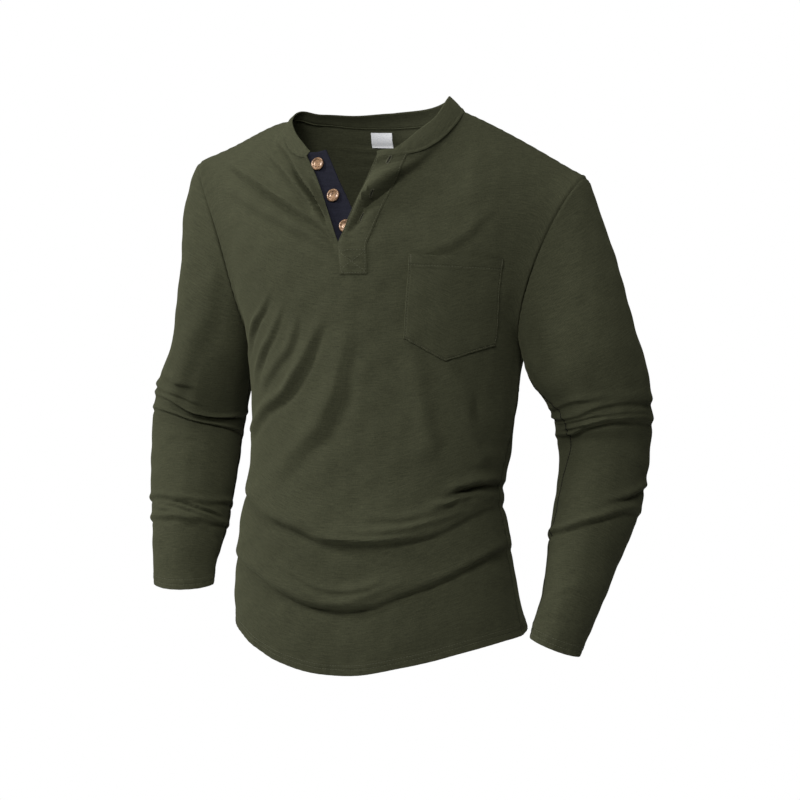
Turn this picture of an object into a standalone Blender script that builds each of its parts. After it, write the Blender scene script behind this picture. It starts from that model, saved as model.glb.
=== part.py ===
"""A long-sleeve henley shirt, filled out as if worn, with nobody in it.

Metres, +Z up.  The chest faces -Y and the wearer's left is +X.  The origin is the middle of the
neck base, where the shoulders carry the cloth.  Every piece of cloth is a closed wall: a grid of
points worked out from the tables below, and the same points moved in by the cloth's thickness.
"""

import bpy
import numpy as np

# ---- cloth and seams ----
JERSEY = 0.0016  # thickness of the knit
BAND = 0.0022  # neckband, two layers
PLACKET = 0.0014
POCKET_CLOTH = 0.0014
LABEL_CLOTH = 0.0010
SEAM = 0.0004  # open distance between two pieces at a seam
LAID = 0.0005  # open distance between a panel and what is sewn on it

# ---- body below the underarm ----
UNDERARM_Z = -0.262
HEM_DOWN = 0.327  # from the underarm to the hem at the side seams
TAIL_DROP = {1: 0.050, -1: 0.034}  # how much lower the hem hangs at centre front and at centre back
TAIL_POWER = 2.6  # the higher, the narrower the shirt tail
HEM_TILT = 0.004  # the wearer's left side hangs this much lower, the right this much higher
SQUARENESS = 2.3  # 2 is an ellipse
# down from the underarm, half width, depth to the front, depth to the back, centre x, centre y
BODY_COLUMNS = ("down", "half_width", "front", "back", "centre_x", "centre_y")
BODY = (
    (0.000, 0.165, 0.119, 0.108, -0.002, -0.001),
    (0.068, 0.160, 0.117, 0.106, -0.002, -0.003),
    (0.123, 0.153, 0.114, 0.104, -0.005, -0.011),
    (0.163, 0.148, 0.113, 0.104, -0.009, -0.023),
    (0.200, 0.155, 0.117, 0.106, -0.010, -0.022),
    (0.245, 0.161, 0.121, 0.109, -0.010, -0.020),
    (0.290, 0.167, 0.124, 0.113, -0.007, -0.020),
    (0.327, 0.171, 0.125, 0.115, -0.005, -0.015),
)

# ---- neck ring: angle from centre front, positive to the wearer's left ----
NECK_X = -0.005
NECK_Y = -0.030
NECK_HALF_WIDTH = 0.1065
NECK_FRONT = 0.075
NECK_BACK = 0.068
NECK_HEIGHT = (  # angle either way from the front, height
    (0, -0.057),
    (30, -0.053),
    (45, -0.048),
    (60, -0.035),
    (75, -0.018),
    (90, -0.004),
    (105, 0.003),
    (125, -0.002),
    (150, -0.009),
    (180, -0.0115),
)
NECK_SIDE = 96.0  # the shoulder seams reach the neck ring here
SLIT_LEFT = -34.0  # edges of the open slit on the ring, degrees
SLIT_RIGHT = 16.0
SLIT_SHUT = -10.5  # where both edges lie when it is buttoned
PLACKET_EDGE = 36.5  # far edge of the buttonhole band on the ring

# ---- neckband: angle, how far its free edge leans in, how far it rises ----
NECKBAND = (
    (-34, 0.0045, 0.0045),
    (-45, 0.0085, 0.0100),
    (-60, 0.0095, 0.0110),
    (-80, 0.0080, 0.0105),
    (-105, 0.0080, 0.0090),
    (-130, 0.0100, 0.0092),
    (-180, 0.0110, 0.0160),
    (-230, 0.0120, 0.0155),
    (-255, 0.0140, 0.0140),
    (-280, 0.0130, 0.0190),
    (-296, 0.0117, 0.0205),
    (-315, 0.0110, 0.0187),
    (-324, 0.0080, 0.0120),
    (-332, 0.0040, 0.0050),
)

# ---- shoulders and armholes ----
SHOULDER_TIP = {-1: (-0.231, 0.004, -0.053), 1: (0.237, 0.004, -0.079)}
SHOULDER_ARCH = {-1: 0.005, 1: 0.003}
ARMHOLE_FRONT = {-1: 0.052, 1: 0.046}  # how far the armhole runs forward and back of the shoulder line
ARMHOLE_BACK = 0.080
ARMHOLE_DIP_FRONT = {-1: 0.010, 1: 0.006}  # how far it cuts in towards the chest and the back
ARMHOLE_DIP_BACK = 0.006
NECK_ACROSS = 0.50  # columns within this share of the panel end on the neck ring, the rest on the shoulder
SLIT_ACROSS = -0.028  # the slit's column
PLACKET_ACROSS = 0.074  # the buttonhole band's far column
SLIT_END = 0.5  # height of the slit's lower end, 0 at the underarm, 1 at the top
BAND_END = 0.335  # height of the lower end of both placket bands

# Which way the columns arrive at the top edge: share across, backward slope in front, forward slope at
# the back, upward slope, slope towards the middle
COLUMN_LEAN = (
    (0.00, 0.32, 0.25, 0.95, 0.00),
    (0.25, 0.40, 0.30, 0.85, 0.30),
    (0.50, 0.66, 0.60, 0.48, 0.62),
    (0.75, 0.93, 0.90, 0.38, 0.20),
    (1.00, 0.90, 0.90, 0.40, 0.00),
)

# ---- grids ----
CONTROL_ROWS = 10  # coarse rows below the underarm
CHEST_RISE = 0.20  # from the underarm to the top edge
RELAX_DOWN = 0.10  # the coarse grid is evened out from here below the underarm up
RELAX_PASSES = 14
UPPER_ROWS = 10  # rows between the underarm and the top, and half the points round a sleeve
SIDE_COLUMNS = 6  # columns that end on one shoulder seam
FRONT_COLUMNS = 6  # columns from one shoulder seam to the placket
BACK_COLUMNS = 14
BODY_FOLD_ZONE = (0.130, 0.300, 0.0098)  # from and to this far below the underarm the rows are this close
PLAIN_ROW = 0.034

# Folds in front view: start x, z; middle x, z; end x, z; height; width of the ridge.
# A fold is a soft ridge with a sharper trough on the right-hand side of its direction.
FOLD_COLUMNS = ("x0", "z0", "x1", "z1", "x2", "z2", "height", "width")
FRONT_FOLDS = (
    (-0.170, -0.442, -0.012, -0.503, 0.150, -0.448, 0.0085, 0.026),
    (-0.175, -0.516, -0.010, -0.573, 0.168, -0.490, 0.0085, 0.027),
    (0.085, -0.443, 0.120, -0.434, 0.160, -0.430, 0.0070, 0.018),
    (-0.150, -0.455, -0.090, -0.480, -0.030, -0.488, 0.0030, 0.016),
    (0.020, -0.465, 0.090, -0.458, 0.150, -0.436, 0.0030, 0.014),
    (-0.160, -0.370, -0.135, -0.330, -0.105, -0.280, 0.0028, 0.022),
    (-0.158, -0.320, -0.140, -0.270, -0.120, -0.220, 0.0026, 0.020),
    (0.120, -0.420, 0.092, -0.350, 0.070, -0.290, 0.0024, 0.030),
    (-0.104, -0.050, -0.075, -0.100, -0.022, -0.150, 0.0034, 0.016),
    (-0.125, -0.095, -0.080, -0.130, -0.026, -0.165, 0.0022, 0.018),
)
BACK_FOLDS = (
    (0.160, -0.448, 0.010, -0.482, -0.170, -0.442, 0.0075, 0.028),
    (0.168, -0.490, -0.015, -0.550, -0.175, -0.516, 0.0080, 0.028),
    (0.165, -0.430, 0.080, -0.445, 0.000, -0.440, 0.0060, 0.020),
    (-0.165, -0.400, -0.090, -0.425, 0.010, -0.420, 0.0045, 0.022),
    (0.120, -0.170, 0.085, -0.240, 0.060, -0.330, 0.0024, 0.030),
    (-0.115, -0.170, -0.085, -0.230, -0.060, -0.320, 0.0024, 0.030),
)

# ---- sleeves ----
# Each row is a ring: centre x, y, z, half width and half depth; the first is just below the underarm
# and the last is the cuff.  1 is the wearer's left sleeve, -1 the right.
SLEEVE_COLUMNS = ("x", "y", "z", "across", "depth")
SLEEVES = {
    1: (
        (0.2415, 0.005, -0.2965, 0.0640, 0.063),
        (0.2500, 0.012, -0.3200, 0.0605, 0.060),
        (0.2529, 0.020, -0.3480, 0.0570, 0.059),
        (0.2525, 0.026, -0.3720, 0.0545, 0.057),
        (0.2534, 0.015, -0.4173, 0.0505, 0.054),
        (0.2515, -0.008, -0.4597, 0.0475, 0.051),
        (0.2405, -0.037, -0.5155, 0.0372, 0.043),
        (0.2370, -0.058, -0.5535, 0.0340, 0.038),
        (0.2277, -0.085, -0.6034, 0.0288, 0.032),
    ),
    -1: (
        (-0.2300, 0.010, -0.2900, 0.0510, 0.061),
        (-0.2420, 0.020, -0.3130, 0.0540, 0.060),
        (-0.2515, 0.028, -0.3490, 0.0545, 0.058),
        (-0.2536, 0.027, -0.3646, 0.0540, 0.057),
        (-0.2492, 0.005, -0.4218, 0.0505, 0.053),
        (-0.2426, -0.020, -0.4698, 0.0450, 0.048),
        (-0.2364, -0.050, -0.5210, 0.0365, 0.041),
        (-0.2305, -0.065, -0.5450, 0.0338, 0.038),
    ),
}
# Which way each cuff's opening faces, and how far up the sleeve the rings turn towards it
CUFF_FACING = {1: (-0.36, -0.04, -0.93), -1: (-0.06, 0.12, -0.98)}
CUFF_TURN = 0.10
CAP_RINGS = 7  # rings between the armhole and the sleeve's first row
CAP_REACH = 0.8
CAP_OUT = {1: (0.46, 0.12), -1: (0.85, 0.12)}  # how steeply the cap leaves the shoulder tip and the underarm
PLAIN_STEP = 0.024
SLEEVE_RADIUS = 0.055  # turns the folds' angles into distances
FOLD_STEP = 0.0065
RING_TURN = 0.03  # a ring is square to the middle line taken this far either way
SLEEVE_FOLD_ZONES = {1: ((0.030, 0.095), (0.150, 0.215)), -1: ((0.020, 0.090), (0.160, 0.210))}
# Folds round the sleeve: angle and distance down it at the start, middle and end; height; width.
# 0 degrees is the outside of the arm, 90 the front, 180 the side next to the body, 270 the back.
ROUND_COLUMNS = ("angle0", "along0", "angle1", "along1", "angle2", "along2", "height", "width")
SLEEVE_FOLDS = {
    1: (
        (-70, 0.038, 60, 0.042, 170, 0.060, 0.0042, 0.016),
        (-80, 0.057, 60, 0.064, 180, 0.082, 0.0050, 0.017),
        (-60, 0.150, 20, 0.166, 100, 0.172, 0.0035, 0.014),
        (-70, 0.176, 70, 0.190, 190, 0.210, 0.0040, 0.016),
    ),
    -1: (
        (-60, 0.030, 20, 0.028, 80, 0.034, 0.0040, 0.014),
        (-60, 0.036, 100, 0.060, 200, 0.064, 0.0048, 0.017),
        (-80, 0.060, 90, 0.076, 200, 0.088, 0.0042, 0.016),
        (-100, 0.166, 90, 0.174, 200, 0.182, 0.0042, 0.016),
        (-80, 0.192, 90, 0.192, 200, 0.208, 0.0040, 0.016),
    ),
}

# ---- what is sewn on ----
# The navy button band: width beyond the slit's edge, and how much deeper it lies there
UNDER_WIDTH = 0.0310
UNDER_TUCK = 0.006  # how far it reaches behind the slit's edge
UNDER_SINK = 0.0052
UNDER_TOP = 0.985  # the height it ends at, under the neckband
BUTTON_OFF = 0.0015  # from the band to the button
BUTTON_RADIUS = 0.0075
BUTTON_THICKNESS = 0.0024
# height on the slit as the rows count, and distance from the slit's edge to the button's middle
BUTTONS = ((0.955, 0.0094), (0.795, 0.0094), (0.612, 0.0112))
BUTTON_SIDES = 24
BUTTON_RIM = ((0.0, 0.42), (0.62, 0.42), (0.74, 1.0), (0.90, 1.0), (1.0, 0.62), (0.93, 0.0), (0.0, 0.0))
POCKET_CORNERS = (  # x, z in front view
    ("top_inner", 0.066, -0.168),
    ("top_outer", 0.162, -0.173),
    ("bottom_outer", 0.149, -0.270),
    ("point", 0.104, -0.288),
    ("bottom_inner", 0.060, -0.262),
)
POCKET_STEPS = 8
# the label's sides and its lower and upper edge on the back panel, as its columns and rows count
LABEL_ACROSS = (-0.096, -0.013)
LABEL_HEIGHTS = (0.905, 0.978)

# ---- colours ----
OLIVE = (0.062, 0.066, 0.032, 1.0)
NAVY = (0.014, 0.015, 0.030, 1.0)
HORN = (0.42, 0.25, 0.11, 1.0)
WHITE = (0.80, 0.81, 0.84, 1.0)


def column(table, names, name):
    """One named column of a table."""
    return np.array([row[names.index(name)] for row in table], float)


def follow(keys, values, at):
    """A smooth curve through a table: cubic pieces whose slopes come from the rows on either side."""
    keys = np.asarray(keys, float)
    values = np.asarray(values, float)
    slope = np.gradient(values, keys, axis=0)
    at = np.clip(np.asarray(at, float), keys[0], keys[-1])
    i = np.clip(np.searchsorted(keys, at, side="right") - 1, 0, len(keys) - 2)
    span = keys[i + 1] - keys[i]
    t = (at - keys[i]) / span
    for _ in range(values.ndim - 1):
        span = span[..., None]
        t = t[..., None]
    start = values[i] * (1 + 2 * t) * (1 - t) ** 2 + slope[i] * span * t * (1 - t) ** 2
    return start + values[i + 1] * t * t * (3 - 2 * t) - slope[i + 1] * span * t * t * (1 - t)


def ease(x, low, high):
    """0 below low, 1 above high, smooth between."""
    t = np.clip((x - low) / (high - low), 0, 1)
    return t * t * (3 - 2 * t)


def unit(vectors):
    return vectors / np.maximum(np.linalg.norm(vectors, axis=-1, keepdims=True), 1e-12)


def stack(x, y, z):
    return np.stack(np.broadcast_arrays(x, y, z), axis=-1).astype(float)


# ---------------------------------------------------------------- folds


def ridge_and_trough(x):
    """Height of a fold at x widths to the right of its line: a round ridge at -0.5, a trough at 0.05."""
    return np.exp(-(((x + 0.50) / 0.42) ** 2)) - 0.55 * np.exp(-(((x - 0.05) / 0.24) ** 2))


def fold_height(table, u, v):
    """Sum of the folds at points (u, v): each follows a parabola through its three points and dies
    away towards both ends."""
    total = np.zeros(np.broadcast(u, v).shape)
    for row in table:
        u0, v0, u1, v1, u2, v2, height, width = row
        t = np.linspace(0, 1, 33)
        ends = 2 * (t - 0.5) * (t - 1), 4 * t * (1 - t), 2 * t * (t - 0.5)
        line_u = ends[0] * u0 + ends[1] * u1 + ends[2] * u2
        line_v = ends[0] * v0 + ends[1] * v1 + ends[2] * v2
        off_u = u[..., None] - line_u
        off_v = v[..., None] - line_v
        near = np.argmin(off_u**2 + off_v**2, axis=-1)
        along_u = np.gradient(line_u)[near]
        along_v = np.gradient(line_v)[near]
        size = np.hypot(along_u, along_v)
        du = np.take_along_axis(off_u, near[..., None], -1)[..., 0]
        dv = np.take_along_axis(off_v, near[..., None], -1)[..., 0]
        right = (du * along_v - dv * along_u) / size
        ahead = (du * along_u + dv * along_v) / size
        place = t[near]
        fade = np.sin(np.pi * np.clip(0.06 + 0.88 * place, 0, 1)) ** 0.6
        past = np.exp(-((ahead / width) ** 2))
        total += height * fade * past * ridge_and_trough(right / width)
    return total


# ---------------------------------------------------------------- neck ring and armholes


def neck_ring(angle):
    """The seam between the body and the neckband: an ellipse in plan, its height from the table."""
    a = np.radians(angle)
    deep = np.where(np.cos(a) > 0, NECK_FRONT, NECK_BACK)
    turn = np.abs((np.asarray(angle, float) + 180) % 360 - 180)
    heights = np.array(NECK_HEIGHT)
    z = follow(heights[:, 0], heights[:, 1], turn)
    return stack(NECK_X + NECK_HALF_WIDTH * np.sin(a), NECK_Y - deep * np.cos(a), z)


def armhole(side, angle):
    """The armhole loop: 0 degrees at the shoulder tip, 90 at the front, 180 underarm, 270 at the back."""
    a = np.radians(angle)
    up = (1 + np.cos(a)) / 2
    top = np.array(SHOULDER_TIP[side])
    bottom = body_section(1, np.array(float(side)), np.array(0.0))
    front = np.sin(a) > 0
    dip = np.where(front, ARMHOLE_DIP_FRONT[side], ARMHOLE_DIP_BACK)
    reach = np.where(front, ARMHOLE_FRONT[side], ARMHOLE_BACK)
    loop = bottom + (top - bottom) * up[..., None]
    return loop - stack(side * dip * np.sin(a) ** 2, reach * np.sin(a), 0 * a)


# ---------------------------------------------------------------- front and back panels


def body_section(facing, across, down):
    """A point on the body below the underarm: a rounded ellipse from the table, rows dropped towards
    the middle so that they run with the shirt-tail hem."""
    keys = column(BODY, BODY_COLUMNS, "down")
    half, front, back, centre_x, centre_y = (
        follow(keys, column(BODY, BODY_COLUMNS, name), down) for name in BODY_COLUMNS[1:]
    )
    a = across * np.pi / 2
    power = 2 / SQUARENESS
    x = centre_x + half * np.sign(a) * np.abs(np.sin(a)) ** power
    deep = front if facing > 0 else back
    y = centre_y - facing * deep * np.abs(np.cos(a)) ** power
    tail = TAIL_DROP[facing] * np.maximum(np.cos(a), 0) ** TAIL_POWER
    drop = (tail + HEM_TILT * np.sin(a)) * ease(down, 0.06, 0.17)
    return stack(x, y, UNDERARM_Z - np.sign(a) * 0.002 * np.abs(across) ** 4 - down - drop)


def ring_angle(facing, across, slit):
    """Where a column ends on the neck ring.  slit is -1 or 1 for the open slit's two sides, 0 for the
    back or with the slit buttoned."""
    if facing < 0:
        return -180 - across / NECK_ACROSS * (180 - NECK_SIDE)
    if slit == 0:
        return follow((-NECK_ACROSS, SLIT_ACROSS, NECK_ACROSS), (-NECK_SIDE, SLIT_SHUT, NECK_SIDE), across)
    if slit < 0:
        return follow((-NECK_ACROSS, -0.27, SLIT_ACROSS), (-NECK_SIDE, -65.0, SLIT_LEFT), across)
    stops = (SLIT_ACROSS, PLACKET_ACROSS, 0.25, NECK_ACROSS)
    return follow(stops, (SLIT_RIGHT, PLACKET_EDGE, 67.0, NECK_SIDE), across)


def top_edge(facing, across, slit):
    """The panel's upper edge: the neck ring in the middle and the shoulder seams outside it."""
    side = np.where(across < 0, -1, 1)
    inner = np.clip(across, -NECK_ACROSS, NECK_ACROSS)
    ring = neck_ring(ring_angle(facing, inner, slit))
    out = np.clip((np.abs(across) - NECK_ACROSS) / (1 - NECK_ACROSS), 0, 1)[..., None]
    tip = np.where(side[..., None] < 0, SHOULDER_TIP[-1], SHOULDER_TIP[1])
    seam = ring + (tip - ring) * out
    seam[..., 2] += np.where(side < 0, SHOULDER_ARCH[-1], SHOULDER_ARCH[1]) * np.sin(np.pi * out[..., 0])
    return seam


def upper_body(facing, across, height):
    """Above the underarm, slit buttoned: each column is one cubic from the underarm row to the top
    edge.  Towards the sides it is pulled onto the armhole."""
    keys = [row[0] for row in COLUMN_LEAN]
    over = follow(keys, [row[1 if facing > 0 else 2] for row in COLUMN_LEAN], np.abs(across))
    rise = follow(keys, [row[3] for row in COLUMN_LEAN], np.abs(across))
    inward = -np.sign(across) * follow(keys, [row[4] for row in COLUMN_LEAN], np.abs(across))
    up = np.array((0.0, -facing * 0.02, 1.0))
    curve = cubic_column(facing, across, height, up, stack(inward, facing * over, rise))
    end = stack(0.0, facing * COLUMN_LEAN[-1][1 if facing > 0 else 2], COLUMN_LEAN[-1][3])
    for side in (-1, 1):
        edge = armhole(side, 180 * (1 - height) if facing > 0 else 180 * (1 + height))
        plain = cubic_column(facing, np.full_like(across, float(side)), height, up, end)
        inside = 1 - side * across
        begin = np.where(inside < 1e-6, 1.0, ease(height, 0, 0.02 + 0.5 * np.clip(inside, 0, 1)))
        weight = ease(side * across, 0.10, 1.0) * begin
        curve = curve + weight[..., None] * (edge - plain)
    return curve


def cubic_column(facing, across, height, leave, arrive):
    """One cubic from the underarm row to the top edge, leaving and arriving in the given directions."""
    foot = body_section(facing, across, np.zeros_like(across))
    top = top_edge(facing, across, 0)
    reach = 1.1 * np.linalg.norm(top - foot, axis=-1)[..., None]
    t = height[..., None]
    curve = foot * (1 + 2 * t) * (1 - t) ** 2 + leave * reach * t * (1 - t) ** 2
    return curve + top * t * t * (3 - 2 * t) - arrive * reach * t * t * (1 - t)


def between(points, keys):
    """Where straight lines between its two neighbours would put each inner row of a grid."""
    share = ((keys[1:-1] - keys[:-2]) / (keys[2:] - keys[:-2]))[:, None, None]
    return points[:-2] * (1 - share) + points[2:] * share


def control_grid(facing):
    """The panel's plain form, slit buttoned: a coarse grid of points, evened out above the waist."""
    shoulder = np.linspace(NECK_ACROSS, 1, SIDE_COLUMNS + 1)
    if facing > 0:
        left = np.linspace(-NECK_ACROSS, SLIT_ACROSS, FRONT_COLUMNS + 1)
        right = np.linspace(PLACKET_ACROSS, NECK_ACROSS, FRONT_COLUMNS + 1)
        middle = np.concatenate([left, [(SLIT_ACROSS + PLACKET_ACROSS) / 2], right])
    else:
        middle = np.linspace(-NECK_ACROSS, NECK_ACROSS, BACK_COLUMNS + 1)
    across = np.concatenate([-shoulder[:0:-1], middle, shoulder[1:]])
    below = np.linspace(1, 0, CONTROL_ROWS + 1)[:-1]
    above = np.linspace(0, 1, UPPER_ROWS + 1)
    low = body_section(facing, *np.broadcast_arrays(across[None, :], below[:, None] * HEM_DOWN))
    high = upper_body(facing, *np.broadcast_arrays(across[None, :], above[:, None]))
    points = np.concatenate([low, high])
    lengths = np.concatenate([-below * HEM_DOWN, above * CHEST_RISE])
    first = int(np.searchsorted(lengths, -RELAX_DOWN))
    for _ in range(RELAX_PASSES):
        by_row = between(points[:, 1:-1], lengths)
        by_column = between(points[1:-1].transpose(1, 0, 2), across).transpose(1, 0, 2)
        inner = points[1:-1, 1:-1] + 0.5 * ((by_row + by_column) / 2 - points[1:-1, 1:-1])
        points[first:-1, 1:-1] = inner[first - 1:]
    return {"across": across, "height": np.concatenate([-below, above]), "points": points}


def panel(control, facing, across, height, slit):
    """The plain form at any columns and rows: height runs from -1 at the hem to 0 at the underarm and
    1 at the top.  The slit's two sides part in proportion to the height above its end."""
    rows = follow(control["height"], control["points"], height)
    grid = follow(control["across"], rows.transpose(1, 0, 2), across).transpose(1, 0, 2)
    parted = np.clip((height - SLIT_END) / (1 - SLIT_END), 0, 1)[:, None, None]
    return grid + (top_edge(facing, across, slit) - top_edge(facing, across, 0))[None] * parted


def lower_rows(zone, last):
    """Heights of the rows from the hem up to the underarm, close together in the fold zone."""
    high, low, fine = zone
    rows = [last]
    down = last
    while down > 0:
        step = fine if high <= down <= low else PLAIN_ROW
        down = down - step
        if down > 0.6 * step:
            rows.append(down)
    return -np.array(rows + [0.0]) / HEM_DOWN


# ---------------------------------------------------------------- walls


def grid_faces(index):
    """Four-sided faces of a grid of vertex numbers."""
    return np.stack([index[:-1, :-1], index[:-1, 1:], index[1:, 1:], index[1:, :-1]], -1).reshape(-1, 4)


def point_normals(points, faces):
    """The mean of the face normals round each point, weighted by area."""
    corner = points[faces]
    flat = np.cross(corner[:, 2] - corner[:, 0], corner[:, 3] - corner[:, 1])
    total = np.zeros_like(points)
    for k in range(4):
        np.add.at(total, faces[:, k], flat)
    return unit(total)


def edge_loop_faces(faces, count):
    """Faces that join each open edge of a grid to the same edge of its copy."""
    edges = np.concatenate([faces[:, [k, (k + 1) % 4]] for k in range(4)])
    edges = edges[edges[:, 0] != edges[:, 1]]
    seen = {(a, b) for a, b in edges.tolist()}
    open_edges = np.array([edge for edge in edges.tolist() if (edge[1], edge[0]) not in seen])
    return np.stack([open_edges[:, 1], open_edges[:, 0], open_edges[:, 0] + count, open_edges[:, 1] + count], -1)


def fabric_material(name, colour, roughness, metallic=0.0):
    material = bpy.data.materials.new(name)
    material.use_nodes = True
    shader = material.node_tree.nodes["Principled BSDF"]
    shader.inputs["Base Color"].default_value = colour
    shader.inputs["Roughness"].default_value = roughness
    shader.inputs["Metallic"].default_value = metallic
    return material


def add_object(name, points, faces, material):
    """A named mesh object, shaded smooth except at its sharp edges."""
    mesh = bpy.data.meshes.new(name)
    mesh.from_pydata(points.tolist(), [], [list(dict.fromkeys(face)) for face in faces.tolist()])
    mesh.validate()
    mesh.materials.append(material)
    mesh.shade_smooth()
    mesh.set_sharp_from_angle(angle=np.radians(50))
    piece = bpy.data.objects.new(name, mesh)
    bpy.context.scene.collection.objects.link(piece)
    return piece


def add_wall(name, outer, faces, inward, material):
    """A closed wall: the outer points, the same points moved by inward, and the strip between them."""
    count = len(outer)
    points = np.concatenate([outer, outer + inward])
    inner_faces = faces[:, ::-1] + count
    return add_object(name, points, np.concatenate([faces, inner_faces, edge_loop_faces(faces, count)]), material)


def seam_normals(own, other):
    """Normals shared by two pieces where they meet nearly flush, each piece's own where they fold."""
    agree = ease((own * other).sum(-1, keepdims=True), -0.3, 0.2)
    return unit(own + other * agree)


# ---------------------------------------------------------------- building the cloth


def shape_panel(facing):
    """The folded surface of a panel: points, faces, normals and the vertex numbers of its grid."""
    control = control_grid(facing)
    columns = control["across"]
    upper = np.linspace(0, 1, UPPER_ROWS + 1)
    if facing > 0:
        halves = [columns[columns < SLIT_ACROSS + 1e-6], columns[columns > SLIT_ACROSS - 1e-6]]
        slits = (-1, 1)
    else:
        halves = [columns]
        slits = (0,)
    rows = np.concatenate([lower_rows(BODY_FOLD_ZONE, HEM_DOWN)[:-1], upper])
    base = len(rows) - len(upper)
    slit_row = base + int(round(SLIT_END * UPPER_ROWS))
    parts = [panel(control, facing, half, rows, slit) for half, slit in zip(halves, slits)]
    numbers = []
    start = 0
    for part in parts:
        grid = start + np.arange(part.shape[0] * part.shape[1]).reshape(part.shape[:2])
        numbers.append(grid)
        start += grid.size
    points = np.concatenate([part.reshape(-1, 3) for part in parts])
    if facing > 0:
        numbers[1][: slit_row + 1, 0] = numbers[0][: slit_row + 1, -1]
    faces = np.concatenate([grid_faces(grid) for grid in numbers])
    if facing < 0:
        faces = faces[:, ::-1]
    used, packed = np.unique(faces, return_inverse=True)
    points = points[used]
    faces = packed.reshape(faces.shape)
    numbers = [np.searchsorted(used, grid) for grid in numbers]
    acrosses = np.concatenate([np.broadcast_to(half[None, :], grid.shape).ravel() for half, grid in zip(halves, numbers)])
    heights = np.concatenate([np.broadcast_to(rows[:, None], grid.shape).ravel() for grid in numbers])
    across = np.zeros(len(points))
    height = np.zeros(len(points))
    order = np.concatenate([grid.ravel() for grid in numbers])
    across[order] = acrosses
    height[order] = heights
    calm = 1 - np.maximum(ease(np.abs(across), 0.86, 1.0) * ease(height, -0.05, 0.1), ease(height, 0.86, 1.0))
    folds = FRONT_FOLDS if facing > 0 else BACK_FOLDS
    lift = fold_height(folds, points[:, 0], points[:, 2]) * calm
    points = points + point_normals(points, faces) * lift[:, None]
    return {
        "points": points,
        "faces": faces,
        "normals": point_normals(points, faces),
        "grids": numbers,
        "base": base,
        "rows": rows,
        "halves": halves,
        "shoulder_columns": SIDE_COLUMNS,
    }


def sleeve_lengths(side):
    """Distance down the sleeve's middle line of each row of its table."""
    centres = np.array([row[:3] for row in SLEEVES[side]])
    return np.concatenate([[0.0], np.cumsum(np.linalg.norm(np.diff(centres, axis=0), axis=-1))])


def sleeve_rings(side):
    """Distances of the rings below the sleeve's first row, close together in the fold zones."""
    last = sleeve_lengths(side)[-1]
    rings = [0.0]
    while rings[-1] < last - 1e-6:
        here = rings[-1]
        fine = any(low <= here < high for low, high in SLEEVE_FOLD_ZONES[side])
        step = FOLD_STEP if fine else PLAIN_STEP
        ahead = [low for low, high in SLEEVE_FOLD_ZONES[side] if here < low < here + step]
        following = min(ahead[0] if ahead else here + step, last)
        rings.append(last if last - following < 0.4 * step else following)
    return np.array(rings)


def sleeve_row(side, along, angle):
    """A ring of the sleeve: an ellipse square to the arm's line, from the table.  Near the cuff it
    turns towards the way the opening faces."""
    table = SLEEVES[side]
    keys = sleeve_lengths(side)
    centre_line = np.array([row[:3] for row in table])
    centre = follow(keys, centre_line, along)
    ahead = follow(keys, centre_line, along + RING_TURN) - follow(keys, centre_line, along - RING_TURN)
    ahead = unit(ahead)
    turned = ease(along, keys[-1] - CUFF_TURN, keys[-1])[..., None]
    ahead = unit(ahead * (1 - turned) + unit(np.array(CUFF_FACING[side])) * turned)
    forward = np.array((0.0, -1.0, 0.0))
    front = unit(forward - (ahead @ forward)[..., None] * ahead)
    outward = np.cross(ahead, front) * side
    outward = outward * np.sign(outward[..., :1] * side)
    across = follow(keys, column(table, SLEEVE_COLUMNS, "across"), along)[..., None]
    depth = follow(keys, column(table, SLEEVE_COLUMNS, "depth"), along)[..., None]
    a = np.radians(angle)[..., None]
    return centre + across * np.cos(a) * outward + depth * np.sin(a) * front


def sleeve_cap(side, share, angle):
    """Between the armhole and the first row: one cubic for each angle, leaving the shoulder outwards
    and the underarm downwards."""
    top = armhole(side, angle)
    low = sleeve_row(side, np.zeros_like(angle), angle)
    a = np.radians(angle)
    high, low_out = CAP_OUT[side]
    out = low_out + (high - low_out) * ((1 + np.cos(a)) / 2) ** 2
    leave = unit(stack(side * out, -0.10 * np.sin(a), -0.90 + 0.0 * a))
    below = sleeve_row(side, np.full_like(angle, 0.01), angle)
    arrive = unit(below - low)
    reach = CAP_REACH * np.linalg.norm(low - top, axis=-1)[..., None]
    t = share[..., None]
    curve = top * (1 + 2 * t) * (1 - t) ** 2 + leave * reach * t * (1 - t) ** 2
    return curve + low * t * t * (3 - 2 * t) - arrive * reach * t * t * (1 - t)


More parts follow.
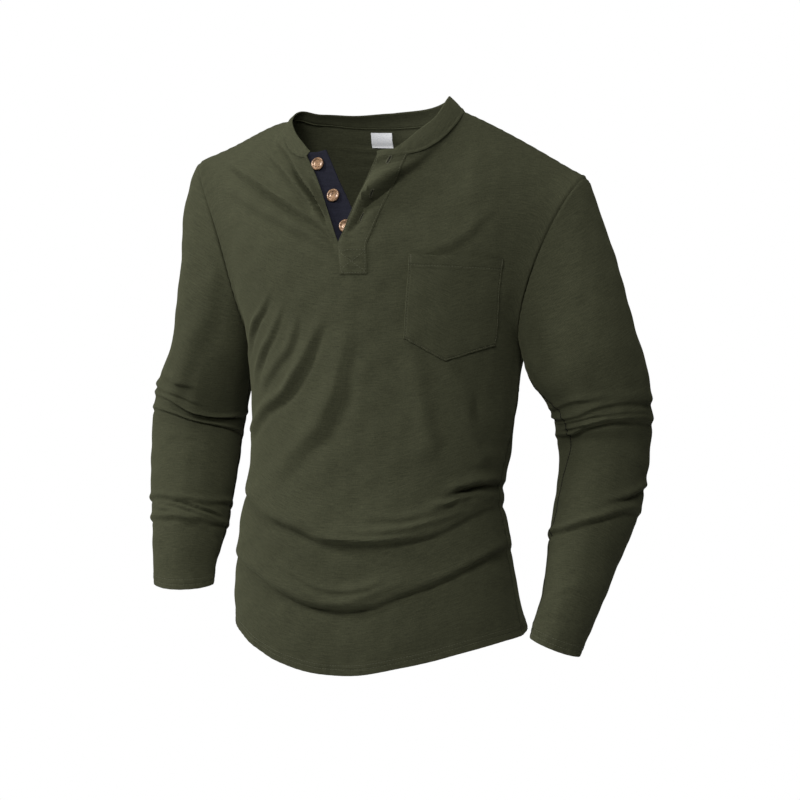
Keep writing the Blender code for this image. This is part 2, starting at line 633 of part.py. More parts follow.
def shape_sleeve(side):
    """The folded surface of a sleeve: rings from the armhole to the cuff."""
    half = np.linspace(0, 180, UPPER_ROWS + 1)
    angles = np.concatenate([half, 180 + half[1:-1]])
    shares = np.linspace(0, 1, CAP_RINGS + 1)[:-1]
    rings = sleeve_rings(side)
    cap = sleeve_cap(side, *np.broadcast_arrays(shares[:, None], angles[None, :]))
    tube = sleeve_row(side, *np.broadcast_arrays(rings[:, None], angles[None, :]))
    grid_points = np.concatenate([cap, tube])
    grid = np.arange(grid_points.shape[0] * len(angles)).reshape(-1, len(angles))
    faces = grid_faces(np.concatenate([grid, grid[:, :1]], axis=1))
    if side < 0:
        faces = faces[:, ::-1]
    points = grid_points.reshape(-1, 3)
    along = np.concatenate([np.full(len(shares), -1.0), rings])
    fold_along = np.repeat(along, len(angles))
    turn = np.tile(angles, len(along))
    lift = np.zeros(len(points))
    arc = np.radians(1) * SLEEVE_RADIUS
    table = [tuple(value * arc if k in (0, 2, 4) else value for k, value in enumerate(row))
             for row in SLEEVE_FOLDS[side]]
    for shift in (-360, 0):
        lift = lift + fold_height(table, (turn + shift) * arc, fold_along)
    points = points + point_normals(points, faces) * lift[:, None]
    points = points + np.array((side * SEAM, 0, 0))
    return {"points": points, "faces": faces, "normals": point_normals(points, faces), "grid": grid}


def match_normals(front, back, sleeves):
    """Share normals along the shoulder, side and armhole seams, then part the pieces there."""
    fronts = [front["grids"][0][:, 0], front["grids"][1][:, -1]]
    backs = [back["grids"][0][:, 0], back["grids"][0][:, -1]]
    for side, front_edge, back_edge in zip((-1, 1), fronts, backs):
        sleeve = sleeves[side]
        ring = sleeve["grid"][0]
        half = UPPER_ROWS
        front_up = front_edge[front["base"]:]
        back_up = back_edge[back["base"]:]
        ring_front = ring[: half + 1][::-1]
        ring_back = np.concatenate([ring[half:], ring[:1]])
        for panel_shape, edge, loop in ((front, front_up, ring_front), (back, back_up, ring_back)):
            ours = panel_shape["normals"][edge].copy()
            theirs = sleeve["normals"][loop].copy()
            panel_shape["normals"][edge] = seam_normals(ours, theirs)
            sleeve["normals"][loop] = seam_normals(theirs, ours)
        tip = front["normals"][front_up[-1]] + back["normals"][back_up[-1]] + sleeve["normals"][ring[0]]
        front["normals"][front_up[-1]] = unit(tip)
        back["normals"][back_up[-1]] = unit(tip)
        sleeve["normals"][ring[0]] = unit(tip)
    count = front["shoulder_columns"]
    for front_top, back_top in (
        (front["grids"][0][-1, : count + 1], back["grids"][0][-1, : count + 1]),
        (front["grids"][1][-1, -count - 1:], back["grids"][0][-1, -count - 1:]),
    ):
        shared = unit(front["normals"][front_top] + back["normals"][back_top])
        front["normals"][front_top] = shared
        back["normals"][back_top] = shared
        front["points"][front_top, 1] -= SEAM / 2
        back["points"][back_top, 1] += SEAM / 2
    for front_edge, back_edge in zip(fronts, backs):
        front_low = front_edge[: front["base"] + 1]
        back_low = back_edge[: back["base"] + 1]
        middle = (front["points"][front_low] + back["points"][back_low]) / 2
        shared = unit(front["normals"][front_low] + back["normals"][back_low])
        for piece, edge, way in ((front, front_low, -1), (back, back_low, 1)):
            piece["normals"][edge] = shared
            piece["points"][edge] = middle + np.array((0, way * SEAM / 2, 0))


def wall_of(name, shape, thickness, material):
    add_wall(name, shape["points"], shape["faces"], -shape["normals"] * thickness, material)


def neckband_points(angle, rise_share):
    """The band leans in and rises from the neck ring, both from the table."""
    table = np.array(NECKBAND)[::-1]
    lean = follow(table[:, 0], table[:, 1], angle)
    rise = follow(table[:, 0], table[:, 2], angle)
    ring = neck_ring(angle)
    centre = np.array((NECK_X, NECK_Y, 0.0))
    inward = unit((centre - ring) * np.array((1, 1, 0)))
    foot = ring + np.array((0, 0, SEAM)) + inward * SEAM
    bulge = 0.0012 * np.sin(np.pi * rise_share)
    top = inward * (lean * rise_share - bulge)[..., None]
    return foot + top + np.array((0, 0, 1.0)) * (rise * rise_share)[..., None]


def add_neckband(front, back, material):
    """A strip round the neck from one side of the slit to the other, tapered at both ends.  Its columns
    stand on the panels' own columns."""
    left, right = (half[np.abs(half) < NECK_ACROSS + 1e-6] for half in front["halves"])
    behind = back["halves"][0][np.abs(back["halves"][0]) < NECK_ACROSS + 1e-6]
    angles = np.concatenate([
        ring_angle(1, left, -1),
        ring_angle(-1, behind[1:-1], 0),
        ring_angle(1, right[1:], 1) - 360,
    ])
    angles = np.sort(angles)
    shares = np.linspace(0, 1, 4)
    points = neckband_points(*np.broadcast_arrays(angles[None, :], shares[:, None]))
    grid = np.arange(points.shape[0] * points.shape[1]).reshape(points.shape[:2])
    faces = grid_faces(grid)
    flat = points.reshape(-1, 3)
    inward = -point_normals(flat, faces)
    inward[: len(angles), 2] = 0
    add_wall("neckband", flat, faces, unit(inward) * BAND, material)


def add_upper_placket(front, material):
    """The buttonhole band: the panel's own points beside the slit, moved out."""
    grid = front["grids"][1]
    patch = grid[front["base"]:, :3]
    rows = np.arange(UPPER_ROWS + 1) / UPPER_ROWS
    heights = np.concatenate([[BAND_END], rows[rows > BAND_END]])
    outward = unit(straight(rows, front["normals"][patch], heights))
    inner = straight(rows, front["points"][patch], heights) + outward * LAID
    outer = inner + outward * PLACKET
    index = np.arange(inner[..., 0].size).reshape(inner.shape[:2])
    faces = grid_faces(index)
    add_wall("placket_upper", outer.reshape(-1, 3), faces, (inner - outer).reshape(-1, 3), material)


def straight(keys, values, at):
    """Values between the rows of a grid, along straight lines from row to row."""
    i = np.clip(np.searchsorted(keys, at, side="right") - 1, 0, len(keys) - 2)
    share = ((at - keys[i]) / (keys[i + 1] - keys[i])).reshape(-1, *([1] * (values.ndim - 1)))
    return values[i] * (1 - share) + values[i + 1] * share


def slit_frames(front):
    """Along the slit: the wearer's right edge, the unit step towards the other side, and the normal."""
    first = front["base"] + int(BAND_END * UPPER_ROWS)
    left = front["points"][front["grids"][0][first:, -1]]
    beyond = front["points"][front["grids"][0][first:, -2]]
    normal = front["normals"][front["grids"][0][first:, -1]]
    right = front["points"][front["grids"][1][first:, 1]]
    heights = front["rows"][first:]
    step = unit(unit(left - beyond) + unit(right - left))
    step = unit(step - (step * normal).sum(-1, keepdims=True) * normal)
    return heights, left, step, normal


def under_placket_points(front, height, out):
    """The navy band's outer face: out metres from the slit's edge, lying deeper the further it goes."""
    heights, left, step, normal = slit_frames(front)
    edge = follow(heights, left, height)
    away = unit(follow(heights, step, height))
    face = unit(follow(heights, normal, height))
    depth = JERSEY + LAID + UNDER_SINK * ease(out, -0.002, 0.016)
    depth = depth + 0.10 * np.maximum(out - 0.012, 0) + 0.25 * np.maximum(-out, 0)
    return edge + away * out[..., None] - face * depth[..., None]


def add_under_placket(front, material):
    heights = np.linspace(BAND_END, UNDER_TOP, 15)
    outs = np.array((-UNDER_TUCK, -0.001, 0.004, 0.010, 0.016, 0.021, UNDER_WIDTH))
    points = under_placket_points(front, *np.broadcast_arrays(heights[:, None], outs[None, :]))
    index = np.arange(points.shape[0] * points.shape[1]).reshape(points.shape[:2])
    faces = grid_faces(index)
    flat = points.reshape(-1, 3)
    add_wall("placket_under", flat, faces, -point_normals(flat, faces) * PLACKET, material)


def add_button(name, front, height, inset, material):
    """A turned disc with a raised rim, flat on the navy band."""
    at = np.array((height,))
    out = np.array((inset,))
    centre = under_placket_points(front, at, out)[0]
    side_a = under_placket_points(front, at, out + 0.004)[0] - under_placket_points(front, at, out - 0.004)[0]
    side_b = under_placket_points(front, at + 0.02, out)[0] - under_placket_points(front, at - 0.02, out)[0]
    u = unit(side_a)
    n = unit(np.cross(side_a, side_b))
    v = np.cross(n, u)
    turn = np.linspace(0, 2 * np.pi, BUTTON_SIDES, endpoint=False)
    profile = np.array(BUTTON_RIM)
    rings = profile[1:-1]
    radius = rings[:, :1] * BUTTON_RADIUS
    lift = rings[:, 1:] * BUTTON_THICKNESS + BUTTON_OFF
    points = centre + radius[..., None] * (np.cos(turn)[:, None] * u + np.sin(turn)[:, None] * v) + lift[..., None] * n
    caps = centre + (profile[[0, -1], 1:] * BUTTON_THICKNESS + BUTTON_OFF) * n
    flat = np.concatenate([points.reshape(-1, 3), caps])
    index = np.arange(len(rings) * BUTTON_SIDES).reshape(len(rings), BUTTON_SIDES)
    loop = np.concatenate([index, index[:, :1]], axis=1)
    faces = grid_faces(loop)[:, ::-1]
    top = np.stack([loop[0, :-1], loop[0, 1:], np.full(BUTTON_SIDES, len(flat) - 2), loop[0, :-1]], -1)
    bottom = np.stack([loop[-1, 1:], loop[-1, :-1], np.full(BUTTON_SIDES, len(flat) - 1), loop[-1, 1:]], -1)
    add_object(name, flat, np.concatenate([faces, top, bottom]), material)


def on_front(front, x, z):
    """The front panel's surface at a place in front view: the point and its normal, found on the faces."""
    points = front["points"]
    faces = front["faces"]
    triangles = np.concatenate([faces[:, [0, 1, 2]], faces[:, [0, 2, 3]]])
    corner = points[triangles][..., [0, 2]]
    place = np.stack([x, z], -1).reshape(-1, 2)
    a, b, c = (corner[:, k] for k in range(3))
    area = (b[:, 0] - a[:, 0]) * (c[:, 1] - a[:, 1]) - (c[:, 0] - a[:, 0]) * (b[:, 1] - a[:, 1])
    area = np.where(np.abs(area) < 1e-12, 1e-12, area)
    px = place[:, None, 0] - a[None, :, 0]
    pz = place[:, None, 1] - a[None, :, 1]
    wb = (px * (c[:, 1] - a[:, 1]) - pz * (c[:, 0] - a[:, 0])) / area
    wc = (pz * (b[:, 0] - a[:, 0]) - px * (b[:, 1] - a[:, 1])) / area
    worst = np.minimum(np.minimum(wb, wc), 1 - wb - wc)
    pick = np.argmax(worst, axis=1)
    rows = np.arange(len(place))
    weight = np.stack([1 - wb[rows, pick] - wc[rows, pick], wb[rows, pick], wc[rows, pick]], -1)[..., None]
    where = (points[triangles[pick]] * weight).sum(1)
    normal = unit((front["normals"][triangles[pick]] * weight).sum(1))
    return where.reshape(*x.shape, 3), normal.reshape(*x.shape, 3)


def add_pocket(front, material):
    """The chest pocket: a grid between its corners in front view, laid on the panel and moved out."""
    corner = {name: np.array((x, z)) for name, x, z in POCKET_CORNERS}
    u = np.linspace(0, 1, POCKET_STEPS + 1)
    v = np.linspace(0, 1, POCKET_STEPS + 1)
    top = corner["top_inner"] + (corner["top_outer"] - corner["top_inner"]) * u[:, None]
    to_point = np.clip(u * 2, 0, 1)[:, None]
    from_point = np.clip(u * 2 - 1, 0, 1)[:, None]
    bottom = corner["bottom_inner"] + (corner["point"] - corner["bottom_inner"]) * to_point
    bottom = bottom + (corner["bottom_outer"] - corner["point"]) * from_point
    place = bottom + (top - bottom) * v[:, None, None]
    surface, normal = on_front(front, place[..., 0], place[..., 1])
    inner = surface + normal * LAID * 2
    outer = inner + normal * POCKET_CLOTH
    index = np.arange(place[..., 0].size).reshape(place.shape[:2])
    add_wall("pocket", outer.reshape(-1, 3), grid_faces(index), (inner - outer).reshape(-1, 3), material)


def add_label(back, material):
    """The bare label on the inside of the back: the panel's own points, moved in past its thickness."""
    across = np.linspace(*LABEL_ACROSS, 5)
    heights = np.linspace(*LABEL_HEIGHTS, 4)
    grid = back["grids"][0]

    def on_back(values):
        by_row = straight(back["rows"], values[grid], heights).transpose(1, 0, 2)
        return straight(back["halves"][0], by_row, across).transpose(1, 0, 2)

    normal = unit(on_back(back["normals"]))
    near = on_back(back["points"]) - normal * (JERSEY + LAID)
    flat = near.reshape(-1, 3)
    faces = grid_faces(np.arange(len(flat)).reshape(near.shape[:2]))[:, ::-1]
    add_wall("label", flat, faces, -normal.reshape(-1, 3) * LABEL_CLOTH, material)


def main():
    for thing in list(bpy.data.objects):
        bpy.data.objects.remove(thing, do_unlink=True)
    front = shape_panel(1)
    back = shape_panel(-1)
    sleeves = {side: shape_sleeve(side) for side in (-1, 1)}
    match_normals(front, back, sleeves)
    wall_of("front", front, JERSEY, fabric_material("olive jersey front", OLIVE, 0.85))
    wall_of("back", back, JERSEY, fabric_material("olive jersey back", OLIVE, 0.85))
    wall_of("sleeve_left", sleeves[1], JERSEY, fabric_material("olive jersey left sleeve", OLIVE, 0.85))
    wall_of("sleeve_right", sleeves[-1], JERSEY, fabric_material("olive jersey right sleeve", OLIVE, 0.85))
    add_neckband(front, back, fabric_material("olive neckband", OLIVE, 0.85))
    add_upper_placket(front, fabric_material("olive buttonhole band", OLIVE, 0.85))
    add_under_placket(front, fabric_material("navy button band", NAVY, 0.85))
    for number, (height, inset) in enumerate(BUTTONS, 1):
        horn = fabric_material(f"horn button {number}", HORN, 0.40)
        add_button(f"button_{number}", front, height, inset, horn)
    add_pocket(front, fabric_material("olive pocket", OLIVE, 0.85))
    add_label(back, fabric_material("white label", WHITE, 0.70))


main()
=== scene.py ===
"""The henley shirt as seen: fine cloth surfaces on the frame's forms, with seams, stitching, creases,
buttons and knit, lit by soft studio light and seen from the photograph's angle.

Metres, +Z up, the chest faces -Y.  The tables and functions of the plain form are the ones the frame
was made from, so every panel lies on its own solid.  The creases, the settled places and the hem's
unevenness are added here.
"""

import bpy
import numpy as np
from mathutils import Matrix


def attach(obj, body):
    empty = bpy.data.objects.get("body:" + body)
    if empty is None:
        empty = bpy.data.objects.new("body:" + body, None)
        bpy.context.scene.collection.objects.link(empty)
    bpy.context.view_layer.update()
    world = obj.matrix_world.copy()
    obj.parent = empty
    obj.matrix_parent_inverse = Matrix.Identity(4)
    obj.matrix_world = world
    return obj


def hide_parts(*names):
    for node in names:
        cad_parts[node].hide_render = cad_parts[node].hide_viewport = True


# ---- cloth thickness as it shows ----
JERSEY = 0.0011
BAND = 0.0021
PLACKET = 0.0013
LABEL_CLOTH = 0.0006
LAID = 0.0003  # how far what is sewn on stands off the panel

# ---- body below the underarm ----
UNDERARM_Z = -0.262
HEM_DOWN = 0.327  # from the underarm to the hem at the side seams
TAIL_DROP = {1: 0.050, -1: 0.034}  # how much lower the hem hangs at centre front and at centre back
TAIL_POWER = 2.6  # the higher, the narrower the shirt tail
HEM_TILT = 0.004  # the wearer's left side hangs this much lower, the right this much higher
TAIL_BEGINS = (0.06, 0.17)  # the tail grows in between these distances below the underarm
UNDERARM_TILT = 0.002  # the wearer's left underarm lies this much lower, the right this much higher
SQUARENESS = 2.3  # 2 is an ellipse
# down from the underarm, half width, depth to the front, depth to the back, centre x, centre y
BODY = (
    (0.000, 0.165, 0.119, 0.108, -0.002, -0.001),
    (0.068, 0.160, 0.117, 0.106, -0.002, -0.003),
    (0.123, 0.153, 0.114, 0.104, -0.005, -0.011),
    (0.163, 0.148, 0.113, 0.104, -0.009, -0.023),
    (0.200, 0.155, 0.117, 0.106, -0.010, -0.022),
    (0.245, 0.161, 0.121, 0.109, -0.010, -0.020),
    (0.290, 0.167, 0.124, 0.113, -0.007, -0.020),
    (0.327, 0.171, 0.125, 0.115, -0.005, -0.015),
)

# ---- neck ring: angle from centre front, positive to the wearer's left ----
NECK_X = -0.005
NECK_Y = -0.030
NECK_HALF_WIDTH = 0.1065
NECK_FRONT = 0.075
NECK_BACK = 0.068
NECK_HEIGHT = (  # angle either way from the front, height
    (0, -0.057), (30, -0.053), (45, -0.048), (60, -0.035), (75, -0.018),
    (90, -0.004), (105, 0.003), (125, -0.002), (150, -0.009), (180, -0.0115),
)
NECK_SIDE = 96.0  # the shoulder seams reach the neck ring here
SLIT_LEFT = -34.0  # edges of the open slit on the ring, degrees
SLIT_RIGHT = 16.0
SLIT_SHUT = -10.5  # where both edges lie when it is buttoned
PLACKET_EDGE = 36.5  # far edge of the buttonhole band on the ring

# ---- neckband: angle, how far its free edge leans in, how far it rises ----
NECKBAND = (
    (-34, 0.0045, 0.0045),
    (-45, 0.0085, 0.0100),
    (-60, 0.0095, 0.0110),
    (-80, 0.0080, 0.0105),
    (-105, 0.0080, 0.0090),
    (-130, 0.0100, 0.0092),
    (-180, 0.0110, 0.0160),
    (-230, 0.0120, 0.0155),
    (-255, 0.0140, 0.0140),
    (-280, 0.0130, 0.0190),
    (-296, 0.0117, 0.0205),
    (-315, 0.0110, 0.0187),
    (-324, 0.0080, 0.0120),
    (-332, 0.0040, 0.0050),
)

# ---- shoulders and armholes ----
SHOULDER_TIP = {-1: (-0.231, 0.004, -0.053), 1: (0.237, 0.004, -0.079)}
SHOULDER_ARCH = {-1: 0.005, 1: 0.003}
ARMHOLE_FRONT = {-1: 0.052, 1: 0.046}  # how far the armhole runs forward and back of the shoulder line
ARMHOLE_BACK = 0.080
ARMHOLE_DIP_FRONT = {-1: 0.010, 1: 0.006}  # how far it cuts in towards the chest and the back
ARMHOLE_DIP_BACK = 0.006
NECK_ACROSS = 0.50  # columns within this share of the panel end on the neck ring, the rest on the shoulder
SLIT_ACROSS = -0.028  # the slit's column
PLACKET_ACROSS = 0.074  # the buttonhole band's far column
SLIT_END = 0.5  # height of the slit's lower end, 0 at the underarm, 1 at the top
BAND_END = 0.335  # height of the lower end of both placket bands
# Where the front's columns end on the neck ring, as pairs of column and angle: for the wearer's right
# side of the open slit, with the slit buttoned, and for the left side
NECK_STOPS = {
    -1: ((-NECK_ACROSS, -NECK_SIDE), (-0.27, -65.0), (SLIT_ACROSS, SLIT_LEFT)),
    0: ((-NECK_ACROSS, -NECK_SIDE), (SLIT_ACROSS, SLIT_SHUT), (NECK_ACROSS, NECK_SIDE)),
    1: ((SLIT_ACROSS, SLIT_RIGHT), (PLACKET_ACROSS, PLACKET_EDGE), (0.25, 67.0), (NECK_ACROSS, NECK_SIDE)),
}

# Which way the columns arrive at the top edge: share across, backward slope in front, forward slope at
# the back, upward slope, slope towards the middle
COLUMN_LEAN = (
    (0.00, 0.32, 0.25, 0.95, 0.00),
    (0.25, 0.40, 0.30, 0.85, 0.30),
    (0.50, 0.66, 0.60, 0.48, 0.62),
    (0.75, 0.93, 0.90, 0.38, 0.20),
    (1.00, 0.90, 0.90, 0.40, 0.00),
)

COLUMN_LEAVES = 0.02  # slope away from the middle with which the columns leave the underarm row
COLUMN_REACH = 1.1  # share of its length that a column keeps to both directions

# ---- the coarse grid ----
CONTROL_ROWS = 10  # coarse rows below the underarm
CHEST_RISE = 0.20  # from the underarm to the top edge
RELAX_DOWN = 0.10  # the coarse grid is evened out from here below the underarm up
RELAX_PASSES = 14
UPPER_ROWS = 10
SIDE_COLUMNS = 6
FRONT_COLUMNS = 6
BACK_COLUMNS = 14

# ---- sleeves ----
# Each row is a ring: centre x, y, z, half width and half depth; the first is just below the underarm
# and the last is the cuff.  1 is the wearer's left sleeve, -1 the right.
SLEEVES = {
    1: (
        (0.2415, 0.005, -0.2965, 0.0640, 0.063),
        (0.2500, 0.012, -0.3200, 0.0605, 0.060),
        (0.2529, 0.020, -0.3480, 0.0570, 0.059),
        (0.2525, 0.026, -0.3720, 0.0545, 0.057),
        (0.2534, 0.015, -0.4173, 0.0505, 0.054),
        (0.2515, -0.008, -0.4597, 0.0475, 0.051),
        (0.2405, -0.037, -0.5155, 0.0372, 0.043),
        (0.2370, -0.058, -0.5535, 0.0340, 0.038),
        (0.2277, -0.085, -0.6034, 0.0288, 0.032),
    ),
    -1: (
        (-0.2300, 0.010, -0.2900, 0.0510, 0.061),
        (-0.2420, 0.020, -0.3130, 0.0540, 0.060),
        (-0.2515, 0.028, -0.3490, 0.0545, 0.058),
        (-0.2536, 0.027, -0.3646, 0.0540, 0.057),
        (-0.2492, 0.005, -0.4218, 0.0505, 0.053),
        (-0.2426, -0.020, -0.4698, 0.0450, 0.048),
        (-0.2364, -0.050, -0.5210, 0.0365, 0.041),
        (-0.2305, -0.065, -0.5450, 0.0338, 0.038),
    ),
}
# Which way each cuff's opening faces, and how far up the sleeve the rings turn towards it
CUFF_FACING = {1: (-0.36, -0.04, -0.93), -1: (-0.06, 0.12, -0.98)}
CUFF_TURN = 0.10
CAP_REACH = 0.8
CAP_OUT = {1: (0.46, 0.12), -1: (0.85, 0.12)}  # how steeply the cap leaves the shoulder tip and the underarm
SLEEVE_RADIUS = 0.055  # turns the folds' angles into distances
RING_TURN = 0.03  # a ring is square to the middle line taken this far either way

# ---- creases, in millimetres: height, width, then the line as x, z pairs in front view.  A crease is a
# ridge on the left of its line's direction and a narrow trough along the line itself. ----
FRONT_FOLDS = (
    # the two rolls of slack above the hem, each a broad swell with tighter rolls on it
    (6, 26, -172, -428, -113, -459, -49, -481.3, -11, -492.6, 62, -489.8, 126, -464, 160, -440),
    (4.8, 11, -172, -428, -113, -459, -67, -476, -30, -488.5, 14, -492.5, 62, -489.8, 100, -482.6, 140, -455),
    (3, 10, -12, -480, 20.5, -481, 63.6, -478, 94.4, -470, 125, -456),
    (5.8, 26, -175, -505, -111.5, -529.5, -73.5, -549.6, -1, -566, 64.6, -546.5, 128.5, -517.7, 166, -484),
    (5.2, 11, -175, -505, -111.5, -529.5, -73.5, -549.6, -35.4, -563.4, 29, -563.4, 64.6, -550, 98.4, -535,
     128.5, -517.7, 148.3, -503, 170, -480),
    (2.8, 10, -80, -520, -50.9, -536.1, -25.2, -545, 18, -544.1, 50, -532),
    # short tucks at the wearer's left waist
    (7, 13, 107.5, -442, 114.2, -435.2, 123.4, -428.8, 134.6, -425.8, 150, -427.5),
    (4.8, 10, 90, -452, 102.7, -451.1, 113.7, -445.7, 125.1, -442.7, 137, -440),
    (2.6, 12, 20, -468, 80, -463, 150, -440),
    (2.4, 12, -155, -450, -100, -470, -50, -480),
    # diagonals that run up from the wearer's right side
    (3.6, 10, -150, -285, -135.3, -256.1, -119.6, -233.6, -104.9, -212),
    (3.8, 11, -130, -312, -124.9, -294.9, -113, -273.2, -99.9, -253.4, -84.2, -225),
    (3.2, 14, -118, -322, -103.6, -303.6, -80.6, -277.6, -70.3, -256.2, -63.5, -236),
    (6.2, 17, -142, -374, -135.3, -367.9, -108.8, -343.2, -80.3, -321.5, -59.7, -295.5, -44.8, -269.7, -32.5,
     -242),
    (5.8, 34, -90, -430, -52.4, -387.4, -31.1, -362.5, -10.7, -329.9, -1.6, -295.8, 2.8, -250),
    # and from the left
    (4.4, 24, 99, -400, 96.7, -376.8, 92.3, -345.1, 86.1, -313.1, 76.4, -275),
    (5.8, 24, 145, -405, 140.9, -386.3, 135.7, -362.5, 126.5, -325.4, 109.4, -285),
    # pulls from the shoulder seam down to the slit's lower end
    (9.6, 11, -128, -20, -119, -32.7, -91.2, -55.6, -72.9, -77.8, -54, -98.4, -39.5, -116.2, -26.2, -138, -16.5,
     -160, -6, -190),
    (8.8, 12, -188, -54, -173.1, -64.4, -136.1, -84, -104.7, -101, -74.9, -116.4, -51.5, -129.5, -33.4, -142.5,
     -17.9, -156, 4, -178),
    (5.4, 10, -140, -40, -109.5, -63.4, -79.9, -88, -57.6, -110.8, -35.3, -137.4, -24, -156),
    (3.6, 18, -200, -85, -160, -100, -110, -124, -60, -150, -25, -166),
    (1.8, 16, 85, -172, 130, -150, 160, -110),
    # and the slack beside the buttonhole band, from the slit's lower end up to the neckband
    (12.8, 21, -8.6, -142.1, -2.1, -129.8, 7.6, -114.1, 24.1, -101.9, 40.9, -88.4, 54.9, -74.7, 70.8, -58.6, 83,
     -40),
)
BACK_FOLDS = (
    (6, 26, -172, -428, -80, -468, 10, -484, 90, -470, 160, -440),
    (4.6, 12, -150, -444, -70, -474, 0, -486, 80, -474, 150, -446),
    (3.6, 10, -90, -452, -20, -470, 50, -466, 110, -450),
    (5.8, 26, -175, -505, -90, -536, -5, -556, 90, -530, 166, -484),
    (5, 12, -120, -525, -30, -556, 60, -545, 150, -500),
    (3, 10, -70, -528, 0, -542, 80, -520),
    (5.4, 16, 0, -436, 80, -441, 150, -427.5),
    (4.2, 16, -165, -400, -90, -425, 10, -418),
    (4.4, 24, 120, -170, 85, -240, 60, -330),
    (4.4, 24, -60, -320, -85, -230, -115, -170),
    (4.4, 20, 50, -390, 110, -350, 140, -300),
    (5, 20, -45, -380, -105, -345, -140, -290),
    (3.4, 16, -20, -350, 40, -365, 90, -352),
    (2.6, 18, -20, -120, 60, -125, 130, -100),
    (2.6, 18, -130, -105, -70, -135, 10, -140),
    # faint level wrinkles below the neck, seen from the front on the inside
    (1.4, 8, -80, -30, -30, -34, 30, -34, 70, -28),
    (1.2, 7, -60, -42, 0, -46, 55, -42),
    (1.2, 8, -70, -56, 10, -59, 75, -52),
)
# The same for the sleeves, the line as pairs of angle and distance down the sleeve in millimetres.  0
# degrees is the outside of the arm, 90 the front, 180 the side next to the body, 270 the back.
SLEEVE_CREASES = {
    1: (
        (2.2, 10, 170, 38, 115, 24, 92, 22, 73, 25, 40, 34, 0, 42),
        (3.6, 10, 185, 60, 149, 49, 110, 41, 91, 35, 75, 34, 52, 37, -1, 48, -60, 54),
        (3.2, 6.5, 150, 58, 110, 46, 85, 41, 61, 43, 33, 48, -4, 56),
        (4.2, 11, 190, 88, 134, 75, 112, 69, 94, 56, 80, 52, 59, 52, 33, 57, -14, 67, -80, 66),
        (3, 6, 130, 64, 100, 52, 75, 47, 50, 49, 10, 58),
        (3.4, 11, 205, 215, 164, 219, 116, 219, 88, 209, 65, 198, 40, 183, 3, 168, -50, 160),
        (2.6, 8, 180, 219, 116, 220, 88, 210, 65, 199, 40, 184),
        (3.8, 9, 62, 180, 40, 169, 23, 157, -16, 135, -60, 130),
        (1.2, 9, 120, 292, 85, 282, 50, 280),
        (1.3, 7, 150, 316, 105, 308, 70, 306),
        (1.2, 8, 165, 322, 130, 330, 110, 332),
        (1.8, 20, 60, 110, 20, 122, -40, 112),
        (2.6, 14, 330, 60, 270, 52, 200, 50),
        (3, 15, 340, 72, 280, 80, 215, 90),
        (2.4, 13, 320, 150, 250, 176, 200, 200),
    ),
    -1: (
        (2.4, 12, 107, 6, 88, 9, 65, 13, 30, 25),
        (2.4, 9, 120, 30, 80, 27, 50, 34, 10, 42, -30, 44),
        (3.6, 10, 215, 58, 183, 56, 157, 53, 129, 52, 111, 48, 93, 43, 71, 39, 40, 46, -10, 56),
        (2.8, 6, 170, 55, 129, 53, 111, 49, 93, 44, 71, 40),
        (3, 9, 210, 88, 173, 81, 141, 79, 119, 76, 99, 70, 79, 62, 55, 61, 27, 66, -20, 72),
        (3.4, 9, 225, 176, 194, 182, 153, 196, 126, 200, 103, 198, 81, 195, 27, 180, -30, 172),
        (4.2, 8.5, 230, 200, 195, 209, 159, 216.5, 136, 217.5, 119, 218, 95, 217, 73, 216, 28, 209, -30, 200),
        (2.6, 5, 175, 204.5, 155, 205.5, 124, 203.5, 99, 200.5, 85, 198.5),
        (2.6, 5, 160, 212.5, 143, 212, 118, 209.5, 90, 204, 76, 200.5),
        (2, 5, 130, 215, 100, 212.5, 75, 208, 60, 203),
        (1.6, 10, 175, 228, 150, 224, 115, 222, 90, 224),
        (0.9, 16, 150, 130, 110, 118, 70, 112),
        (2.8, 14, 330, 50, 280, 52, 220, 60),
        (2.8, 13, 330, 176, 280, 186, 235, 192),
    ),
}
# Long soft hollows down the upper arm: angle at the armhole, angle at the elbow, depth, width
SLEEVE_DRAPES = {
    1: ((78, 60, 0.0020, 0.016), (125, 110, 0.0024, 0.014), (20, 25, 0.0014, 0.020), (240, 250, 0.0020, 0.018)),
    -1: ((70, 58, 0.0018, 0.014), (112, 92, 0.0030, 0.013), (30, 34, 0.0012, 0.018), (240, 250, 0.0020, 0.018)),
}
SEAM_ANGLES = {1: (118.0, 156.0), -1: (184.0, 200.0)}  # the columns lie closer here
# The sleeve's own seam: distance down the sleeve, angle
UNDERARM_SEAM = {
    1: (
        (-0.120, 180), (0.000, 150), (0.040, 126), (0.080, 121), (0.140, 132), (0.170, 138),
        (0.200, 144), (0.360, 152),
    ),
    -1: ((-0.120, 180), (0.000, 190), (0.300, 196)),
}

# Direction from the body's middle, 0 towards the wearer's left and -90 in front: how far the hem is
# moved up
HEM_SHIFT = (
    (-120, 0.0), (-90, 0.0), (-65, 0.004), (-45, 0.000), (-25, -0.006), (0, -0.002), (20, 0.009),
    (50, 0.005), (90, 0.0),
)

